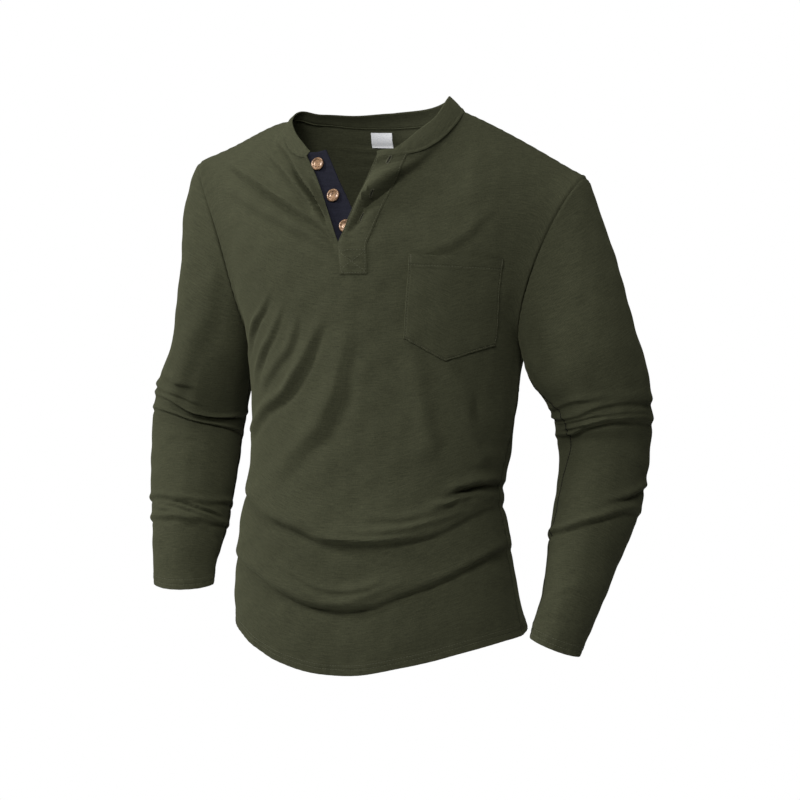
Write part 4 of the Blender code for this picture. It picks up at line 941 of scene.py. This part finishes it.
def sleeve_cap(side, share, angle):
    """Between the armhole and the first row: one cubic for each angle, leaving the shoulder outwards
    and the underarm downwards."""
    top = armhole(side, angle)
    low = sleeve_row(side, np.zeros_like(angle), angle)
    a = np.radians(angle)
    high_out, low_out = CAP_OUT[side]
    out = low_out + (high_out - low_out) * ((1 + np.cos(a)) / 2) ** 2
    leave = unit(stack(side * out, -0.10 * np.sin(a), -0.90 + 0.0 * a))
    arrive = unit(sleeve_row(side, np.full_like(angle, 0.01), angle) - low)
    reach = CAP_REACH * np.linalg.norm(low - top, axis=-1)[..., None]
    return cubic(top, leave * reach, low, arrive * reach, share[..., None])


def shape_sleeve(side):
    """The creased surface of a sleeve: rings from the armhole to the cuff, with its creases, long soft
    hollows, its own seam and the turned cuff."""
    angles = graded((0.0, *SEAM_ANGLES[side], 360.0), SLEEVE_ANGLE_STEPS)[:-1]
    shares = graded((0.0, 0.12, 1.0), CAP_STEPS)[:-1, None]
    last = sleeve_lengths(side)[-1]
    rings = graded((0.0, 0.095, 0.165, 0.235, last - 0.019, last), SLEEVE_RING_STEPS)[:, None]
    cap = sleeve_cap(side, *np.broadcast_arrays(shares, angles[None, :]))
    tube = sleeve_row(side, *np.broadcast_arrays(rings, angles[None, :]))
    form = settled(np.concatenate([cap, tube]))
    grid = numbered(len(form), len(angles))
    faces = grid_faces(ringed(grid))[:, ::side]
    walked = run_length(form, 0)
    from_cuff = walked[-1:] - walked
    along = np.concatenate([-walked[len(shares)][None, :] * (1 - shares), np.repeat(rings, len(angles), 1)])
    turn = np.broadcast_to(angles, along.shape)
    round_ring = run_length(ringed(form), 1)[:, :-1]
    arc = np.radians(1) * SLEEVE_RADIUS
    table = in_metres(SLEEVE_CREASES[side])
    for row, angled in zip(table, SLEEVE_CREASES[side]):
        row[2::2] = np.array(angled[2::2], float) * arc
    lift = np.zeros(along.shape)
    for shift in (-360, 0, 360):
        lift += crease_height(table, (turn + shift) * arc, along) * ease(walked, 0.0, 0.03)
    for start, end, depth, width in SLEEVE_DRAPES[side]:
        line = start + (end - start) * ease(along, -0.10, 0.05)
        off = (turn - line + 180) % 360 - 180
        fade = ease(walked, 0.004, 0.05) * (1 - ease(along, 0.015, 0.05))
        lift -= depth * fade * bell(off * arc, width)
    seam_angle = read(UNDERARM_SEAM[side], along)
    lift += 0.5 * puff(np.abs((turn - seam_angle + 180) % 360 - 180) * arc, along)
    lift += puff(walked, round_ring)
    lift += turned_hem(from_cuff, round_ring, CUFF_DEPTH, CUFF_STITCH_ROWS)
    lift += unevenness(form) * ease(walked, 0.0, 0.03)
    points = form.reshape(-1, 3)
    points = points + point_normals(points, faces) * lift.reshape(-1)[:, None]
    from_back = np.abs((turn + 180 - seam_angle) % 360 - 180) * arc
    return {
        "points": points, "faces": faces, "normals": point_normals(points, faces), "grid": grid,
        "from_cuff": from_cuff, "uv": np.stack([from_back, along], -1).reshape(-1, 2),
        "angles": angles, "seam_angle": seam_angle,
    }


# ---------------------------------------------------------------- bands


def capped(rings):
    """The points of all rings as one list, and after them the middles of the first and the last ring."""
    return np.concatenate([rings.reshape(-1, 3), rings[[0, -1]].mean(axis=1)])


def neckband_surface(angle, share):
    """The band's outer face: it leans in and rises from the neck ring, both from the table, and bulges
    a little between."""
    lean, rise = (read(NECKBAND[::-1], angle, number) for number in (1, 2))
    ring = neck_ring(angle)
    inward = unit((np.array((NECK_X, NECK_Y, 0.0)) - ring) * np.array((1, 1, 0)))
    arch = np.sin(np.pi * share)
    ripple = 0.00025 * np.sin(np.radians(angle) * 52) * arch
    top = inward * (lean * share - 0.0016 * arch - ripple)[..., None]
    foot = inward * 0.0004 - np.array((0, 0, NECK_FOOT))
    risen = np.array((0, 0, 1.0)) * (rise * share)[..., None]
    return settled(ring + foot * (1 - share)[..., None] + top + risen)


def neckband_shape():
    """A folded strip: its outer face, a half-round top and its inner face make one loop at each angle
    round the neck; both ends thin out and are closed."""
    angles = -graded((-SLIT_LEFT, 40.0, 320.0, 360.0 - SLIT_RIGHT), (1.0, 2.2, 1.0))
    shares = graded((0.0, 0.24, 0.80, 1.0), (0.03, 0.10, 0.04))
    outer = neckband_surface(*np.broadcast_arrays(angles[:, None], shares[None, :]))
    faces = grid_faces(numbered(*outer.shape[:2]))
    normal = point_normals(outer.reshape(-1, 3), faces[:, ::-1]).reshape(outer.shape)
    seam = bell(np.maximum(run_length(outer, 1) - 0.0018, 0), 0.0012)
    outer = outer - normal * (0.0009 * seam)[..., None]
    risen = run_length(outer, 1)
    half = BAND / 2
    ends = np.minimum(angles[0] - angles, angles - angles[-1])
    thin = 0.25 + 0.75 * ease(ends, 0.0, 5.0)[:, None]
    thick = half * rounded_edge(risen[:, -1:] - risen, half) * thin
    middle = outer - normal * (half * thin)[..., None]
    near = middle + normal * thick[..., None]
    far = middle - normal * thick[..., None]
    loop = np.concatenate([near, far[:, -2::-1]], axis=1)
    uv = stack(run_length(outer[:, 0], 0)[:, None], run_length(loop, 1)).reshape(-1, 2)
    return capped(loop), spindle_faces(*loop.shape[:2]), np.concatenate([uv, uv[[0, -1]]])


def measured(surface):
    """Distances across and up a patch of a grid, and to the nearest of its sides and its lower end."""
    across = run_length(surface, 1)
    up = run_length(surface, 0)
    return across, up, np.minimum(np.minimum(across, across[:, -1:] - across), up)


def laid_on(surface, normal, lift, across, up):
    """What is sewn onto a surface: its outer face, its inner face just clear of the panel, its normals,
    and the distances across and up."""
    outer = surface + normal * lift[..., None]
    return {"outer": outer, "inner": surface + normal * LAID, "normal": normal, "across": across, "up": up}


def upper_placket_shape(front):
    """The buttonhole band: the front's own points between the slit's edge and the band's far column,
    raised by its thickness, thinner at its edges, pressed in along its stitching."""
    first = nearest(front["rows"], BAND_END)
    last = nearest(front["halves"][1], PLACKET_ACROSS)
    patch = front["grids"][1][first:, : last + 1]
    surface = front["points"][patch]
    across, up, side = measured(surface)
    lift = LAID + PLACKET * (0.35 + 0.65 * rounded_edge(side, PLACKET)) + 0.00035 * (1 - bell(side, 0.004))
    lift = lift + 0.00018 * puckers(up, 0.0095, 2.0, 37) - 0.00035 * bell(side - PLACKET_SEWN, 0.0008)
    return laid_on(surface, front["normals"][patch], lift, across, up)


def smooth_along(keys, values):
    """The values' closest cubic in the keys."""
    powers = np.stack([keys**k for k in range(4)], -1)
    return powers @ np.linalg.lstsq(powers, values, rcond=None)[0]


def slit_frames(front):
    """Along the slit: the wearer's right edge, the unit step towards the other side, and the normal."""
    first = nearest(front["rows"], BAND_END)
    near, far = (grid[first:] for grid in front["grids"])
    edge = front["points"][near[:, -1]]
    normal = unit(front["normals"][near[:, SLIT_NORMALS]].mean(axis=1))
    before, beyond = front["points"][near[:, SLIT_BEFORE]], front["points"][far[:, SLIT_BEYOND]]
    step = unit(unit(edge - before) + unit(beyond - edge))
    step = unit(step - (step * normal).sum(-1, keepdims=True) * normal)
    rows = front["rows"][first:]
    edge, step, normal = (smooth_along(rows, values) for values in (edge, step, normal))
    return rows, edge, unit(step), unit(normal)


def under_placket_points(front, height, out):
    """The navy band's outer face: out metres from the slit's edge, lying deeper the further it goes.
    Above the slit it goes straight on."""
    heights, slit, step, normal = slit_frames(front)
    climb = (slit[-1] - slit[-9]) / (heights[-1] - heights[-9])
    edge = follow(heights, slit, height) + np.maximum(height - 1, 0)[..., None] * climb
    steady = np.minimum(height, STEADY_BELOW)
    away, face = (unit(follow(heights, values, steady)) for values in (step, normal))
    depth = UNDER_DEPTH + UNDER_SINK * ease(out, -0.002, 0.016)
    depth = depth + 0.10 * np.maximum(out - 0.012, 0) + 0.25 * np.maximum(-out, 0)
    return edge + away * out[..., None] - face * depth[..., None]


def under_placket_shape(front):
    """The navy band: its top end slants, and its face ripples and is pressed in along one line."""
    shares = np.linspace(0, 1, 70)[:, None]
    outs = graded((-UNDER_TUCK, 0.022, UNDER_WIDTH), (0.0008, 0.0008))
    heights = BAND_END + (UNDER_TOP + UNDER_SLANT * outs[None, :] - BAND_END) * shares
    points = under_placket_points(front, *np.broadcast_arrays(heights, outs[None, :]))
    faces = grid_faces(numbered(*points.shape[:2]))
    up = run_length(points, 0)
    lift = 0.00020 * puckers(up, 0.009, 1.5, 45) - 0.0003 * bell(outs - 0.0195, 0.0007)[None, :]
    flat = points.reshape(-1, 3)
    flat = flat + point_normals(flat, faces) * lift.reshape(-1)[:, None]
    return flat, faces, point_normals(flat, faces), stack(outs, up).reshape(-1, 2)


# ---------------------------------------------------------------- pocket and label


def pocket_places():
    """The pocket's grid in front view, between its five corners."""
    top_inner, top_outer, bottom_outer, point, bottom_inner = np.array(POCKET_CORNERS)
    u, v = (graded((0.0, 0.05, stop, 1.0), (0.008, 0.018, 0.008))[:, None] for stop in (0.95, 0.84))
    top = top_inner + (top_outer - top_inner) * u
    bottom = bottom_inner + (point - bottom_inner) * np.clip(u * 2, 0, 1)
    bottom = bottom + (bottom_outer - point) * np.clip(u * 2 - 1, 0, 1)
    return bottom + (top - bottom) * v[..., None]


def pocket_shape(front):
    """The pocket on the front's surface: its edges turned under and sewn down, its top hem double and
    standing slightly open, its cloth slack and puckered along the seam."""
    grid = front["grids"][1]
    place = pocket_places()
    row, col = find_index(front["points"][grid], place[..., 0], place[..., 1])
    surface = at_index(front["points"][grid], row, col)
    across, up, side = measured(surface)
    below_top = up[-1:] - up
    sewn = bell(side - POCKET_SEWN, 0.0008) * ease(below_top, 0.0, 0.001)
    hem = 0.0005 * (1 - ease(below_top, POCKET_HEM - 0.001, POCKET_HEM + 0.001))
    middle = np.maximum(np.sin(np.pi * across / across[:, -1:]), 0) ** 0.6
    slack = 0.0007 * (1 - bell(side, 0.010))
    pucker = np.sin(2 * np.pi * (across + up) / 0.0105 + 1.6 * np.sin(70 * (across - up)))
    lift = LAID + 0.0004 + 0.0014 * rounded_edge(side, 0.0012) + hem
    lift = lift - 0.0007 * bell(below_top - POCKET_HEM + POCKET_HEM_SEWN, 0.0009) - 0.0009 * sewn
    lift = lift + 0.0016 * bell(below_top, 0.012) * middle + slack + 0.00034 * pucker * bell(side, 0.006)
    return laid_on(surface, unit(at_index(front["normals"][grid], row, col)), lift, across, up)


def label_shape(back):
    """The bare label on the inside of the back panel, bowed a little away from it."""
    grid = back["grids"][0]
    rows = level_index(back["rows"], np.linspace(*LABEL_HEIGHTS, 12))
    columns = level_index(back["halves"][0], np.linspace(*LABEL_ACROSS, 16))
    row, col = np.broadcast_arrays(rows[:, None], columns[None, :])
    normal = unit(at_index(back["normals"][grid], row, col))
    near = at_index(back["points"][grid], row, col) - normal * (JERSEY + 0.0008)
    return near - normal * (0.0006 * np.sin(np.pi * np.linspace(0, 1, 12)))[:, None, None], normal


# ---------------------------------------------------------------- buttons


def button_place(front, height, inset):
    """Middle, right, up and outward directions of a button on the navy band."""

    def near_by(higher, further):
        return under_placket_points(front, np.array((height + higher,)), np.array((inset + further,)))[0]

    across = near_by(0, 0.004) - near_by(0, -0.004)
    n = unit(np.cross(across, near_by(0.02, 0) - near_by(-0.02, 0)))
    u = unit(across)
    return near_by(0, 0) + n * BUTTON_OFF, u, np.cross(n, u), n


def add_button(name, centre, u, v, n, material):
    """A turned disc: the profile's points swept round n, closed at both poles."""
    turn = np.linspace(0, 2 * np.pi, BUTTON_SIDES, endpoint=False)[:, None]
    table = np.array(BUTTON_PROFILE) * (BUTTON_RADIUS, BUTTON_THICKNESS)
    rings = table[1:-1, None]
    points = centre + rings[..., :1] * (np.cos(turn) * u + np.sin(turn) * v) + rings[..., 1:] * n
    flat = np.concatenate([points.reshape(-1, 3), centre + table[[0, -1], 1:] * n])
    return add_object(name, flat, spindle_faces(len(rings), BUTTON_SIDES), material)


# ---------------------------------------------------------------- stitches


def stitch_run(line, normal, length=STITCH_LENGTH, gap=STITCH_GAP):
    """Middles, directions, normals and lengths of the stitches along a line of points."""
    walked = run_length(line, 0)
    count = max(1, int(walked[-1] / (length + gap)))
    middle = (np.arange(count) + 0.5) * walked[-1] / count

    def on_line(values, at):
        return np.stack([np.interp(at, walked, values[:, k]) for k in range(3)], -1)

    ahead = unit(on_line(line, middle + length / 2) - on_line(line, middle - length / 2))
    return on_line(line, middle), ahead, unit(on_line(normal, middle)), np.full(count, length)


def add_stitches(name, runs, material, radius):
    """One mesh of small spindles, one for each stitch of the runs: a ring profile along the stitch's
    direction, half sunk in the cloth."""
    middle, ahead, out, length = (np.concatenate(values) for values in zip(*runs))
    aside = unit(np.cross(ahead, out))
    out = np.cross(aside, ahead)
    turn = np.linspace(0, 2 * np.pi, STITCH_SIDES, endpoint=False)
    rings = np.array(STITCH_RINGS)
    by_side, by_out = (
        np.concatenate([(rings[:, 1:] * wave(turn)).ravel() * radius, (0.0, 0.0)])[None, :, None]
        for wave in (np.cos, np.sin)
    )
    by_length = np.concatenate([np.repeat(rings[:, 0], STITCH_SIDES), (-1.0, 1.0)])[None, :, None]
    points = middle[:, None] + ahead[:, None] * (by_length * length[:, None, None] / 2)
    points = points + aside[:, None] * by_side + out[:, None] * by_out
    faces = spindle_faces(len(rings), STITCH_SIDES)
    every = (faces[None] + np.arange(len(middle))[:, None, None] * points.shape[1]).reshape(-1, 4)
    return add_object(name, points.reshape(-1, 3), every, material)


def level_line(shape, grid, distance, level):
    """The line on a grid at which the distance, growing down its columns, reaches the level, and the
    normals there."""
    row = np.clip((distance < level).sum(axis=0), 1, len(distance) - 1)
    col = np.arange(distance.shape[1])
    low = distance[row - 1, col]
    share = row - 1 + np.clip((level - low) / np.maximum(distance[row, col] - low, 1e-9), 0, 1)
    return [at_index(shape[key][grid], share, col) for key in ("points", "normals")]


def level_index(values, level):
    """Fractional index at which rising values pass a level."""
    return np.interp(level, values, np.arange(len(values), dtype=float))


def run_on(laid, row, col, *size):
    """Stitches on what is sewn on, along a line of fractional rows and columns."""
    return stitch_run(at_index(laid["outer"], row, col), unit(at_index(laid["normal"], row, col)), *size)


def side_columns(across, edge):
    """For each row the two fractional columns that lie the edge's width inside its ends."""
    left = np.array([level_index(row, edge) for row in across])
    right = np.array([level_index(row, row[-1] - edge) for row in across])
    return left, right


def hem_lines(shape):
    """The twin hem stitching of a panel, one run for each grid and level."""
    return [
        stitch_run(*level_line(shape, grid, shape["up"][grid], level))
        for grid in shape["grids"] for level in HEM_STITCH_ROWS
    ]


def neck_line(shape, part, low, high):
    """The line of stitching below the neck seam between two columns."""
    grid = shape["grids"][part][::-1]
    line, normal = level_line(shape, grid, shape["down"][grid], NECK_STITCH)
    used = (shape["halves"][part] > low) & (shape["halves"][part] < high)
    return stitch_run(line[used], normal[used])


def cuff_lines(shape):
    """The twin stitching round a cuff."""
    loop = ringed(shape["grid"][::-1])
    distance = ringed(shape["from_cuff"][::-1])
    return [stitch_run(*level_line(shape, loop, distance, level)) for level in CUFF_STITCH_ROWS]


def seam_shadow_line(shape):
    """Painted shadow in the sleeve's own seam: one dark line laid in its groove, where the groove's shade
    falls.
    """
    row = np.arange(2, len(shape["grid"]) - 1, dtype=float)
    col = level_index(shape["angles"], shape["seam_angle"][2:-1, 0])
    points, normal = (at_index(shape[key][shape["grid"]], row, col) for key in ("points", "normals"))
    return stitch_run(points + unit(normal) * 0.0003, normal, SEAM_SHADOW_DASH, 0.0)


def placket_stitching(laid):
    """Both long edges, the lower end, and a crossed box above it."""
    across, up = laid["across"], laid["up"]
    every = np.arange(len(across), dtype=float)
    sides = side_columns(across, PLACKET_SEWN)
    low, high = level_index(up[:, across.shape[1] // 2], (PLACKET_SEWN, PLACKET_BOX))
    keep = every > low
    runs = [run_on(laid, every[keep], side[keep]) for side in sides]
    corners = [np.array((level, np.interp(level, every, side))) for level in (low, high) for side in sides]
    for a, b in ((0, 1), (2, 3), (0, 3), (1, 2)):
        path = corners[a] + (corners[b] - corners[a]) * np.linspace(0, 1, 24)[:, None]
        runs.append(run_on(laid, *path.T))
    return runs


def pocket_stitching(laid):
    """Both sides, the pointed lower edge, the hem, and a short bar of three rows at each upper corner."""
    across, up = laid["across"], laid["up"]
    every_row, every_col = (np.arange(count, dtype=float) for count in across.shape)
    left, right = sides = side_columns(across, POCKET_SEWN)
    low = np.array([level_index(column, POCKET_SEWN) for column in up.T])
    hem = np.array([level_index(column, column[-1] - POCKET_HEM + POCKET_HEM_SEWN) for column in up.T])
    runs = []
    for side in sides:
        keep = every_row > np.interp(side[0], every_col, low)
        runs.append(run_on(laid, every_row[keep], side[keep]))
    inner = (every_col > left[0]) & (every_col < right[0])
    runs.append(run_on(laid, low[inner], every_col[inner]))
    runs.append(run_on(laid, hem, every_col))
    down = np.mean([level_index(up[:, j], up[-1, j] - 0.010) for j in (2, -3)])
    path = np.linspace(every_row[-1] - 0.3, down, 20)
    for side, way in zip(sides, (1, -1)):
        for shift in (-0.5, 0.2, 0.9):
            runs.append(run_on(laid, path, np.full(20, side[-1] + way * shift), 0.0016, 0.0001))
    return runs


def buttonhole(laid, rows, height):
    """A slit along the band: satin stitches on both sides and a bar at each end; and the slit's line,
    sideways directions and normals."""
    across, up = laid["across"], laid["up"]
    climbed = up[:, across.shape[1] // 2]
    every = np.arange(len(up))
    middle = np.interp(level_index(rows[nearest(rows, BAND_END):], height), every, climbed)
    row = level_index(climbed, middle + np.linspace(-1, 1, 26) * BUTTONHOLE_LENGTH / 2)
    width = np.interp(row, every, across[:, -1])
    col = np.array([level_index(across[int(round(r))], w * BUTTONHOLE_ACROSS) for w, r in zip(width, row)])
    line = at_index(laid["outer"], row, col)
    out = unit(at_index(laid["normal"], row, col))
    ahead = unit(np.gradient(line, axis=0))
    aside = unit(np.cross(ahead, out))
    runs = []
    for way in (-1, 1):
        place = line + aside * way * 0.0014 + out * 0.0002
        runs.append((place, unit(aside * way + ahead * 0.10), out, np.full(len(line), 0.0017)))
    for end in (0, -1):
        bar = line[end] + aside[end] * np.linspace(-0.0015, 0.0015, 6)[:, None]
        runs.append((bar, np.repeat(ahead[[end]], 6, 0), np.repeat(out[[end]], 6, 0), np.full(6, 0.0019)))
    return runs, (line, aside, out)


def slit_shade(name, line, aside, out, material):
    """Painted shade in the buttonhole's gap: a thin dark lens along its middle, pointed at both ends."""
    half = 0.00070 * np.sin(np.pi * np.clip(np.linspace(0, 1, len(line)), 0.02, 0.98)) ** 0.5
    turn = np.linspace(0, 2 * np.pi, SLIT_SIDES, endpoint=False)[:, None]
    ring = aside[:, None] * np.cos(turn) * half[:, None, None]
    ring = ring + out[:, None] * (0.00018 * np.sin(turn))
    rings = line[:, None] + ring + out[:, None] * 0.00012
    return add_object(name, capped(rings), spindle_faces(len(line), SLIT_SIDES), material)


# ---------------------------------------------------------------- materials


class Value:
    """A socket of a material that adds, subtracts and multiplies like a number."""

    def __init__(self, tree, socket):
        self.tree = tree
        self.socket = socket

    def node(self, kind, settings=None, output=0, **inputs):
        """One more node of the same material: its settings, its inputs by name or number."""
        made = self.tree.nodes.new(kind)
        for name, value in (settings or {}).items():
            setattr(made, name, value)
        for name, value in inputs.items():
            key = int(name[1:]) if name[1:].isdigit() else name.replace("_", " ")
            if isinstance(value, Value):
                self.tree.links.new(value.socket, made.inputs[key])
            else:
                made.inputs[key].default_value = value
        return Value(self.tree, made.outputs[output])

    def math(self, operation, other=0.0):
        return self.node("ShaderNodeMath", {"operation": operation}, i0=self, i1=other, i2=0.0)

    def __add__(self, other):
        return self.math("ADD", other)

    def __sub__(self, other):
        return self.math("SUBTRACT", other)

    def __mul__(self, other):
        return self.math("MULTIPLY", other)

    def __rsub__(self, other):
        return (self * -1.0) + other

    __radd__ = __add__
    __rmul__ = __mul__

    def sine(self):
        return self.math("SINE")

    def noise(self, scale, detail, **more):
        """Noise at the places that this value gives."""
        return self.node("ShaderNodeTexNoise", Vector=self, Scale=scale, Detail=detail, **more)

    def shades(self, dark, light):
        """From one colour to another as the value goes from 0 to 1."""
        return self.node("ShaderNodeMix", {"data_type": "RGBA"}, 2, i0=self, i6=(*dark, 1.0), i7=(*light, 1.0))

    def drive(self, name):
        """Feed an input of the material's shader with this value."""
        self.tree.links.new(self.socket, self.tree.nodes["Principled BSDF"].inputs[name])


def start_material(name, **inputs):
    """A new material, inputs of its shader set by name, and the place on the object as a value."""
    material = bpy.data.materials.new(name)
    material.use_nodes = True
    tree = material.node_tree
    for key, value in inputs.items():
        tree.nodes["Principled BSDF"].inputs[key.replace("_", " ")].default_value = value
    return material, Value(tree, tree.nodes.new("ShaderNodeTexCoord").outputs["Object"])


def scaled(colour, share):
    """A colour that gives back this share of the light."""
    return tuple(part * share for part in colour)


def knit_material(name, colour, rib, sheen):
    """Jersey: ribs one rib's width apart along the cloth's own coordinate, fuzz from small noise,
    streaks along the ribs, slow washed shading and a soft sheen."""
    material, place = start_material(
        name, Roughness=0.92, Specular_IOR_Level=0.15, Sheen_Weight=sheen, Sheen_Roughness=0.55,
        Sheen_Tint=(*scaled(colour, 4.0), 1.0),
    )
    slow = place.noise(9.0, 3.0, Roughness=0.6)
    fuzz = place.noise(620.0, 2.0, Roughness=0.7)
    cloth = place.node("ShaderNodeUVMap", {"uv_map": "cloth"})
    across = cloth.node("ShaderNodeSeparateXYZ", Vector=cloth)
    stretched = cloth.node("ShaderNodeVectorMath", {"operation": "MULTIPLY"}, i0=cloth, i1=(70.0, 900.0, 1.0))
    streak = stretched.noise(1.0, 2.0, Roughness=0.6)
    ribs = (across * (2 * np.pi / rib)).sine()
    tone = (slow - 0.5) * 0.30 + (fuzz - 0.5) * 1.25 + (streak - 0.5) * 1.45 + ribs * 0.10 + 0.5
    tone.shades(scaled(colour, 0.66), scaled(colour, 1.34)).drive("Base Color")
    height = ribs * 0.35 + fuzz * 0.9 + streak * 0.9
    height.node("ShaderNodeBump", Strength=0.22, Distance=0.0006, Height=height).drive("Normal")
    return material


def thread_material(name, colour):
    """Thread: two close shades of one colour from very fine noise."""
    material, place = start_material(name, Roughness=0.75, Specular_IOR_Level=0.25)
    place.noise(900.0, 1.0).shades(scaled(colour, 0.75), scaled(colour, 1.25)).drive("Base Color")
    return material


def horn_material(name, dark, light):
    """Mottled copper-brown button: patches of two tones from noise, under a thin gloss."""
    material, place = start_material(name, Roughness=0.34, Metallic=0.25, Coat_Weight=0.35, Coat_Roughness=0.18)
    spread = (place.noise(330.0, 4.0, Roughness=0.65, Distortion=0.8) - 0.5) * 3.2 + 0.56
    spread.node("ShaderNodeClamp", Value=spread).shades(dark, light).drive("Base Color")
    return material


# ---------------------------------------------------------------- everything


def place_piece(piece, node, stands_for_it=True):
    """The piece rides on the one body; a garment piece also stands for the node, whose own part is hidden."""
    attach(piece, "root")
    if stands_for_it:
        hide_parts(node)
    return piece


def build():
    """Every piece that is cut and sewn, and its buttons and stitching."""
    front, back = shape_panel(1), shape_panel(-1)
    shift_hem(front)
    shift_hem(back)
    join_sides(front, back)
    sleeves = {"sleeve_left": shape_sleeve(1), "sleeve_right": shape_sleeve(-1)}
    olive = knit_material("olive jersey", OLIVE, OLIVE_RIB, 0.35)
    thread = thread_material("olive thread", OLIVE_THREAD)
    # painted shade: near-black olive for the dark lenses in the buttonholes' gaps and the dark lines in the
    # sleeve seams' grooves, where only shade falls
    shade_paint = thread_material("painted shade", scaled(OLIVE, 0.12))
    navy = knit_material("navy jersey", NAVY, NAVY_RIB, 0.2)
    horn = horn_material("copper horn", HORN_DARK, HORN_LIGHT)
    white = thread_material("white label cloth", LABEL_WHITE)
    pieces = {}

    def add_cloth(node, outer, faces, inward, material, uv):
        pieces[node] = place_piece(add_wall(f"{node}_cloth", outer, faces, inward, material, uv), node)

    def add_laid(node, laid, shift=0.0):
        outer, across = laid["outer"].reshape(-1, 3), laid["across"]
        inward = laid["inner"].reshape(-1, 3) - outer
        uv = stack(across + shift, laid["up"]).reshape(-1, 2)
        add_cloth(node, outer, grid_faces(numbered(*across.shape)), inward, olive, uv)

    for node, shape in {"front": front, "back": back, **sleeves}.items():
        add_cloth(node, shape["points"], shape["faces"], -shape["normals"] * JERSEY, olive, shape["uv"])
    points, faces, uv = neckband_shape()
    pieces["neckband"] = place_piece(add_object("neckband_cloth", points, faces, olive, uv), "neckband")

    placket = upper_placket_shape(front)
    add_laid("placket_upper", placket)
    holes = []
    for number, height in enumerate(BUTTONHOLES, 1):
        runs, slit = buttonhole(placket, front["rows"], height)
        holes += runs
        # each buttonhole's gap is a dark lens of painted shade
        place_piece(slit_shade(f"buttonhole_gap_shade_{number}", *slit, shade_paint), "placket_upper", False)

    points, faces, normals, uv = under_placket_shape(front)
    add_cloth("placket_under", points, faces, -normals * PLACKET, navy, uv)
    for number, (height, inset) in enumerate(BUTTONS, 1):
        button = add_button(f"button_{number}_turned", *button_place(front, height, inset), horn)
        place_piece(button, f"button_{number}")
    pocket = pocket_shape(front)
    add_laid("pocket", pocket, 0.05)
    near, normal = label_shape(back)
    faces = grid_faces(numbered(*near.shape[:2]))[:, ::-1]
    points = near.reshape(-1, 3)
    add_cloth("label", points, faces, -normal.reshape(-1, 3) * LABEL_CLOTH, white, points[:, [0, 2]])

    beside_slit = [
        neck_line(front, 0, -NECK_ACROSS, SLIT_ACROSS - 0.01),
        neck_line(front, 1, PLACKET_ACROSS + 0.01, NECK_ACROSS),
    ]
    groups = {
        "front": hem_lines(front) + beside_slit,
        "back": hem_lines(back) + [neck_line(back, 0, -NECK_ACROSS, NECK_ACROSS)],
        **{node: cuff_lines(shape) for node, shape in sleeves.items()},
        "placket_upper": placket_stitching(placket),
        "pocket": pocket_stitching(pocket),
    }
    sewing = [(node, f"stitching_{node}", runs, thread, STITCH_RADIUS) for node, runs in groups.items()]
    for node, shape in sleeves.items():
        # a dark line of painted shadow in each sleeve seam's groove
        sewing.append((node, f"seam_{node}", [seam_shadow_line(shape)], shade_paint, SEAM_SHADOW_RADIUS))
    sewing.append(("placket_upper", "buttonhole_stitches", holes, thread, SATIN_RADIUS))
    sewn = {node: [] for node in pieces}
    for node, name, runs, material, radius in sewing:
        sewn[node].append(place_piece(add_stitches(name, runs, material, radius), node, False))


def add_stage():
    """A pale floor disc well below the shirt, the soft round lamps of the table, a world that is white to
    the camera and lights only faintly, and the camera, level and square to its target."""
    scene = bpy.context.scene
    bpy.ops.mesh.primitive_circle_add(vertices=96, radius=1.4, fill_type="NGON", location=(0, 0, FLOOR_HEIGHT))
    floor = bpy.context.object
    floor.name = "floor"
    floor.data.materials.append(start_material("pale floor", Roughness=0.9, Base_Color=(*FLOOR, 1.0))[0])
    turn = np.radians(CAMERA_TURN)
    right = np.array((np.cos(turn), np.sin(turn), 0.0))
    back = np.array((np.sin(turn), -np.cos(turn), 0.0))
    target = np.array((0.0, 0.0, CAMERA_HEIGHT)) + right * CAMERA_SHIFT
    for name, aside, nearer, higher, size, power in LAMPS:
        place = target + right * aside + back * nearer + np.array((0, 0, higher))
        light = bpy.data.lights.new(name, "AREA")
        light.shape = "DISK"
        light.size = size
        light.energy = power
        lamp = bpy.data.objects.new(name, light)
        lamp.location = place.tolist()
        away = place - target
        flat = float(np.hypot(away[0], away[1]))
        lamp.rotation_euler = (float(np.arctan2(flat, away[2])), 0.0, float(np.arctan2(away[0], -away[1])))
        scene.collection.objects.link(lamp)
    world = scene.world or bpy.data.worlds.new("studio")
    scene.world = world
    world.use_nodes = True
    tree = world.node_tree
    tree.nodes.clear()
    seen = Value(tree, tree.nodes.new("ShaderNodeLightPath").outputs["Is Camera Ray"])
    strength = seen * 0.98 + 0.02
    shade = tree.nodes.new("ShaderNodeBackground")
    shade.inputs["Color"].default_value = (1.0, 1.0, 1.0, 1.0)
    tree.links.new(strength.socket, shade.inputs["Strength"])
    out = tree.nodes.new("ShaderNodeOutputWorld")
    tree.links.new(shade.outputs["Background"], out.inputs["Surface"])

    camera = bpy.data.cameras.new("camera")
    camera.sensor_width = SENSOR
    camera.lens = PIXELS_PER_METRE * CAMERA_AWAY / PICTURE * SENSOR
    camera.clip_end = 50.0
    eye = bpy.data.objects.new("camera", camera)
    eye.location = (target + back * CAMERA_AWAY).tolist()
    eye.rotation_euler = (np.pi / 2, 0.0, float(turn))
    scene.collection.objects.link(eye)
    scene.camera = eye
    scene.view_settings.view_transform = "Standard"


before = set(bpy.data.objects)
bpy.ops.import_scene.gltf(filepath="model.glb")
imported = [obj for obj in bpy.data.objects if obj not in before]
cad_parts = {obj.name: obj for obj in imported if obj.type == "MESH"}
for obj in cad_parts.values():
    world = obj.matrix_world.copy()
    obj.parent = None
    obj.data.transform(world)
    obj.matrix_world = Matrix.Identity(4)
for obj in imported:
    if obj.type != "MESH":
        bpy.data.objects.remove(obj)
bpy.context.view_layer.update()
build()
add_stage()
